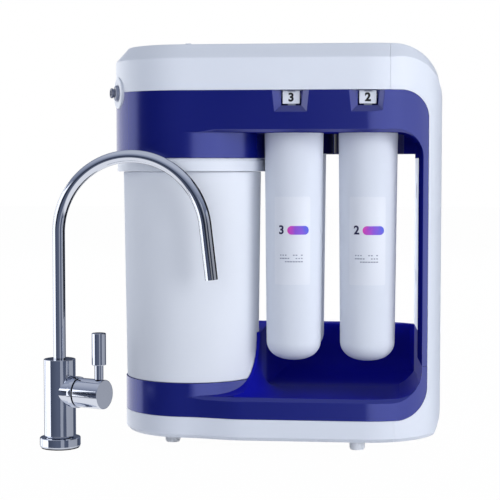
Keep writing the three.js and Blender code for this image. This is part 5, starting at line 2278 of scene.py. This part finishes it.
@dataclass
class Studio:
    """The floor, the surroundings, the lamps and the camera."""

    ambient: Colour = (206, 214, 228)
    ambient_strength: float = 0.57
    floor_white: float = 0.985
    floor_half: float = 9.0
    panel_tall: float = 2.4
    lens: float = 101.667
    camera_place: tuple[float, float, float] = (0.1504, -1.5221, 0.2949)
    pitch: float = -3.362
    yaw: float = 5.453
    target: tuple[float, float, float] = (0.0, 0.0, 0.2)

    def _floor(self) -> None:
        """Make the pale floor, which keeps a faint shadow."""
        mesh = bpy.data.meshes.new("floor")
        half = self.floor_half
        corners = [(-half, -half, 0), (half, -half, 0), (half, half, 0), (-half, half, 0)]
        mesh.from_pydata(corners, [], [(0, 1, 2, 3)])
        item = placed("floor", mesh)
        item.visible_glossy = False
        paint = Paint("floor_white")
        ray = paint.node("ShaderNodeLightPath", {}, {}, RayKind.CAMERA.value)
        glow = paint.node("ShaderNodeEmission", {}, {"Color": (1, 1, 1, 1), "Strength": 1.0})
        cloth = paint.node("ShaderNodeBsdfDiffuse", {}, {"Color": (0.9, 0.9, 0.92, 1)})
        both = paint.node("ShaderNodeMixShader", {}, {0: ray * self.floor_white, 1: cloth, 2: glow})
        output = paint.tree.nodes["Material Output"]
        paint.tree.links.new(both.socket, output.inputs["Surface"])
        mesh.materials.append(paint.material)
        item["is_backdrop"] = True

    def _reflected(self, graph: Graph) -> Wire:
        """Draw what polished parts mirror: panels round the horizon, a dark ceiling and a pale floor.

        Args:
            graph: The world's nodes.

        Returns:
            The colour.
        """
        way = graph.node("ShaderNodeTexCoord", {}, {}, "Generated")
        across = graph.node("ShaderNodeSeparateXYZ", {}, {0: way}, "X")
        depth = Wire(graph, across.socket.node.outputs["Y"])
        height = Wire(graph, across.socket.node.outputs["Z"])
        around = across.maths("ARCTAN2", across, depth * -1.0) / (2 * math.pi) + 0.5
        bearings = [(-180, 0.16), (-136, 0.09), (-58, 0.09), (-3, 0.15), (40, 0.13), (131, 0.09), (180, 0.16)]
        stops = [self._stop(bearing / 360 + 0.5, level) for bearing, level in bearings]
        ring = graph.node("ShaderNodeValToRGB", {"stops": stops}, {0: around})
        heights = [(0.0, 0.02), (0.12, 0.06), (0.35, 0.24), (0.64, 0.46), (0.85, 0.62), (1.0, 0.6)]
        stops = [self._stop(place, level) for place, level in heights]
        above = graph.node("ShaderNodeValToRGB", {"stops": stops}, {0: height})
        mixed = {"data_type": "RGBA"}
        inputs = {"Factor": height.ramp(-0.04, -0.02), 6: ring, 7: above}
        sides = graph.node("ShaderNodeMix", mixed, inputs, 2)
        inputs = {"Factor": height.ramp(-0.3, -0.46), 6: sides, 7: (1.0, 1.0, 1.02, 1)}
        return graph.node("ShaderNodeMix", mixed, inputs, 2)

    def _stop(self, place: float, level: float) -> tuple[float, tuple[float, float, float, float]]:
        """Give a ramp's stop."""
        dusk = (1 - min(level, 1.0)) ** 2
        return (place, (level * (0.98 - 0.18 * dusk), level, level * (1.05 + 0.55 * dusk), 1.0))

    def _world(self) -> None:
        """Make surroundings that are white to the camera and soft light to the object."""
        world = bpy.data.worlds.new("studio")
        world.use_nodes = True
        bpy.context.scene.world = world
        graph = Graph(world.node_tree)
        world.node_tree.nodes.clear()
        path = world.node_tree.nodes.new("ShaderNodeLightPath")
        camera = Wire(graph, path.outputs[RayKind.CAMERA.value])
        gloss = Wire(graph, path.outputs[RayKind.GLOSSY.value])
        clear = Wire(graph, path.outputs[RayKind.TRANSMISSION.value])
        shown = self._reflected(graph)
        room, studio, white = [
            graph.node("ShaderNodeBackground", {}, {"Color": colour, "Strength": strength})
            for colour, strength in (
                (linear(self.ambient), self.ambient_strength),
                (shown, 1.0),
                ((1, 1, 1, 1), 1.0),
            )
        ]
        lit = graph.node("ShaderNodeMixShader", {}, {0: gloss, 1: room, 2: studio})
        seen = graph.node("ShaderNodeMixShader", {}, {0: camera.most(clear), 1: lit, 2: white})
        end = world.node_tree.nodes.new("ShaderNodeOutputWorld")
        world.node_tree.links.new(seen.socket, end.inputs["Surface"])

    def _lamp(
        self,
        lamp: Lamp,
        seen_by: bpy.types.Collection | None = None,
        blocked_by: bpy.types.Collection | None = None,
    ) -> bpy.types.Object:
        """Add a soft lamp that gloss doesn't show.

        Args:
            lamp: The lamp.
            seen_by: The only pieces that it lights, if not all.
            blocked_by: The only pieces that stand in its way, if not all.

        Returns:
            Its object.
        """
        light = bpy.data.lights.new(lamp.name, "AREA")
        light.shape = "RECTANGLE"
        light.size, light.size_y = lamp.wide, lamp.tall
        light.energy = lamp.power
        item = placed(lamp.name, light)
        target = Vector(self.target)
        item.location = lamp.place(target)
        item.rotation_euler = (target - item.location).to_track_quat("-Z", "Y").to_euler()
        item.visible_glossy = False
        if seen_by:
            item.light_linking.receiver_collection = seen_by
        if blocked_by:
            item.light_linking.blocker_collection = blocked_by
        return item

    def light_pieces(self, names: Sequence[str]) -> None:
        """Set out the lamps and panels that only some pieces see.

        Args:
            names: The names of all the pieces.
        """
        unit_names = [name for name in names if not name.startswith("tap_")]
        unit = self._collection("unit", unit_names)
        tap = self._collection("tap", [name for name in names if name.startswith("tap_")])
        for name in unit_names:
            bpy.data.objects[name].visible_glossy = False
        for name, bearing, wide, level, seen_by in (
            ("panel_front", 31, 3.0, 1.5, unit),
            ("panel_side", 86, 3.61, 1.3, unit),
            ("panel_rear", -122, 5.37, 1.4, unit),
            ("tap_panel_left", -84, 2.9, 1.5, tap),
            ("tap_panel_rear", -123, 1.2, 1.5, tap),
            ("tap_panel_front", 22, 1.13, 0.3, tap),
            ("tap_panel_right", 91, 4.3, 0.36, tap),
        ):
            tall = self.panel_tall
            panel = Lamp(name, bearing, 0.0, math.pi * wide * tall * level, wide, tall)
            item = self._lamp(panel, seen_by)
            item.visible_glossy, item.visible_diffuse = True, False
        tray, liner = [self._collection(f"own_{name}", [name]) for name in ("tray", "bay_liner")]
        hung = [name for name in names if name.startswith(("cartridge_", "label_", "tank_wall"))]
        clear_way = self._collection("clear_way", ["floor"])
        open_to_it = [name for name in names if not name.startswith("cartridge_")]
        for lamp, seen_by, blocked_by in (
            (Lamp("bay_top", -5, 58, 9), tray, tray),
            (Lamp("bay_left", -70, 8, 85), liner, liner),
            (Lamp("bay_right", 106, 6, 50), self._collection("hung", hung), clear_way),
            (Lamp("rim", -126, 16, 40), self._collection("outside", ["floor"] + open_to_it), None),
        ):
            self._lamp(lamp, seen_by, blocked_by)

    def _collection(self, name: str, pieces: Sequence[str]) -> bpy.types.Collection:
        """Gather pieces in a collection.

        Args:
            name: Its name.
            pieces: The pieces' names.

        Returns:
            The collection.
        """
        group = bpy.data.collections.new(name)
        for piece in pieces:
            group.objects.link(bpy.data.objects[piece])
        return group

    def build(self) -> None:
        """Set up the studio."""
        scene = bpy.context.scene
        scene.view_settings.view_transform = "Standard"
        self._floor()
        self._world()
        for lamp in (
            Lamp("key", 58, 9, 57),
            Lamp("fill", -20, 14, 24, 2.0, 2.0),
            Lamp("rear", 172, 30, 26, 2.0, 2.0),
        ):
            self._lamp(lamp)
        camera = bpy.data.cameras.new("camera")
        camera.lens = self.lens
        item = placed("camera", camera)
        item.location = self.camera_place
        item.rotation_euler = (math.radians(90 + self.pitch), 0, math.radians(self.yaw))
        scene.camera = item


def main() -> list[Any]:
    """Build every sub-assembly in order.

    Returns:
        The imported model's box, as two lists.
    """
    logging.basicConfig(level=logging.INFO, format="%(message)s")
    FRAME.update(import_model())
    packed = [list(corner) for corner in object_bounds()]
    studio = Studio()
    studio.build()
    shop = Shop()
    for part in (
        WhiteShell(shop),
        BlueFrame(shop),
        Feet(shop),
        Tank(shop),
        Cartridges(shop),
        Sockets(shop),
        Buttons(shop),
        SidePort(shop),
        Tap(shop),
        Workings(shop),
    ):
        LOG.info("building %s", type(part).__name__)
        part.build()
    studio.light_pieces(shop.made)
    return packed


if __name__ == "__main__":
    BEFORE = main()
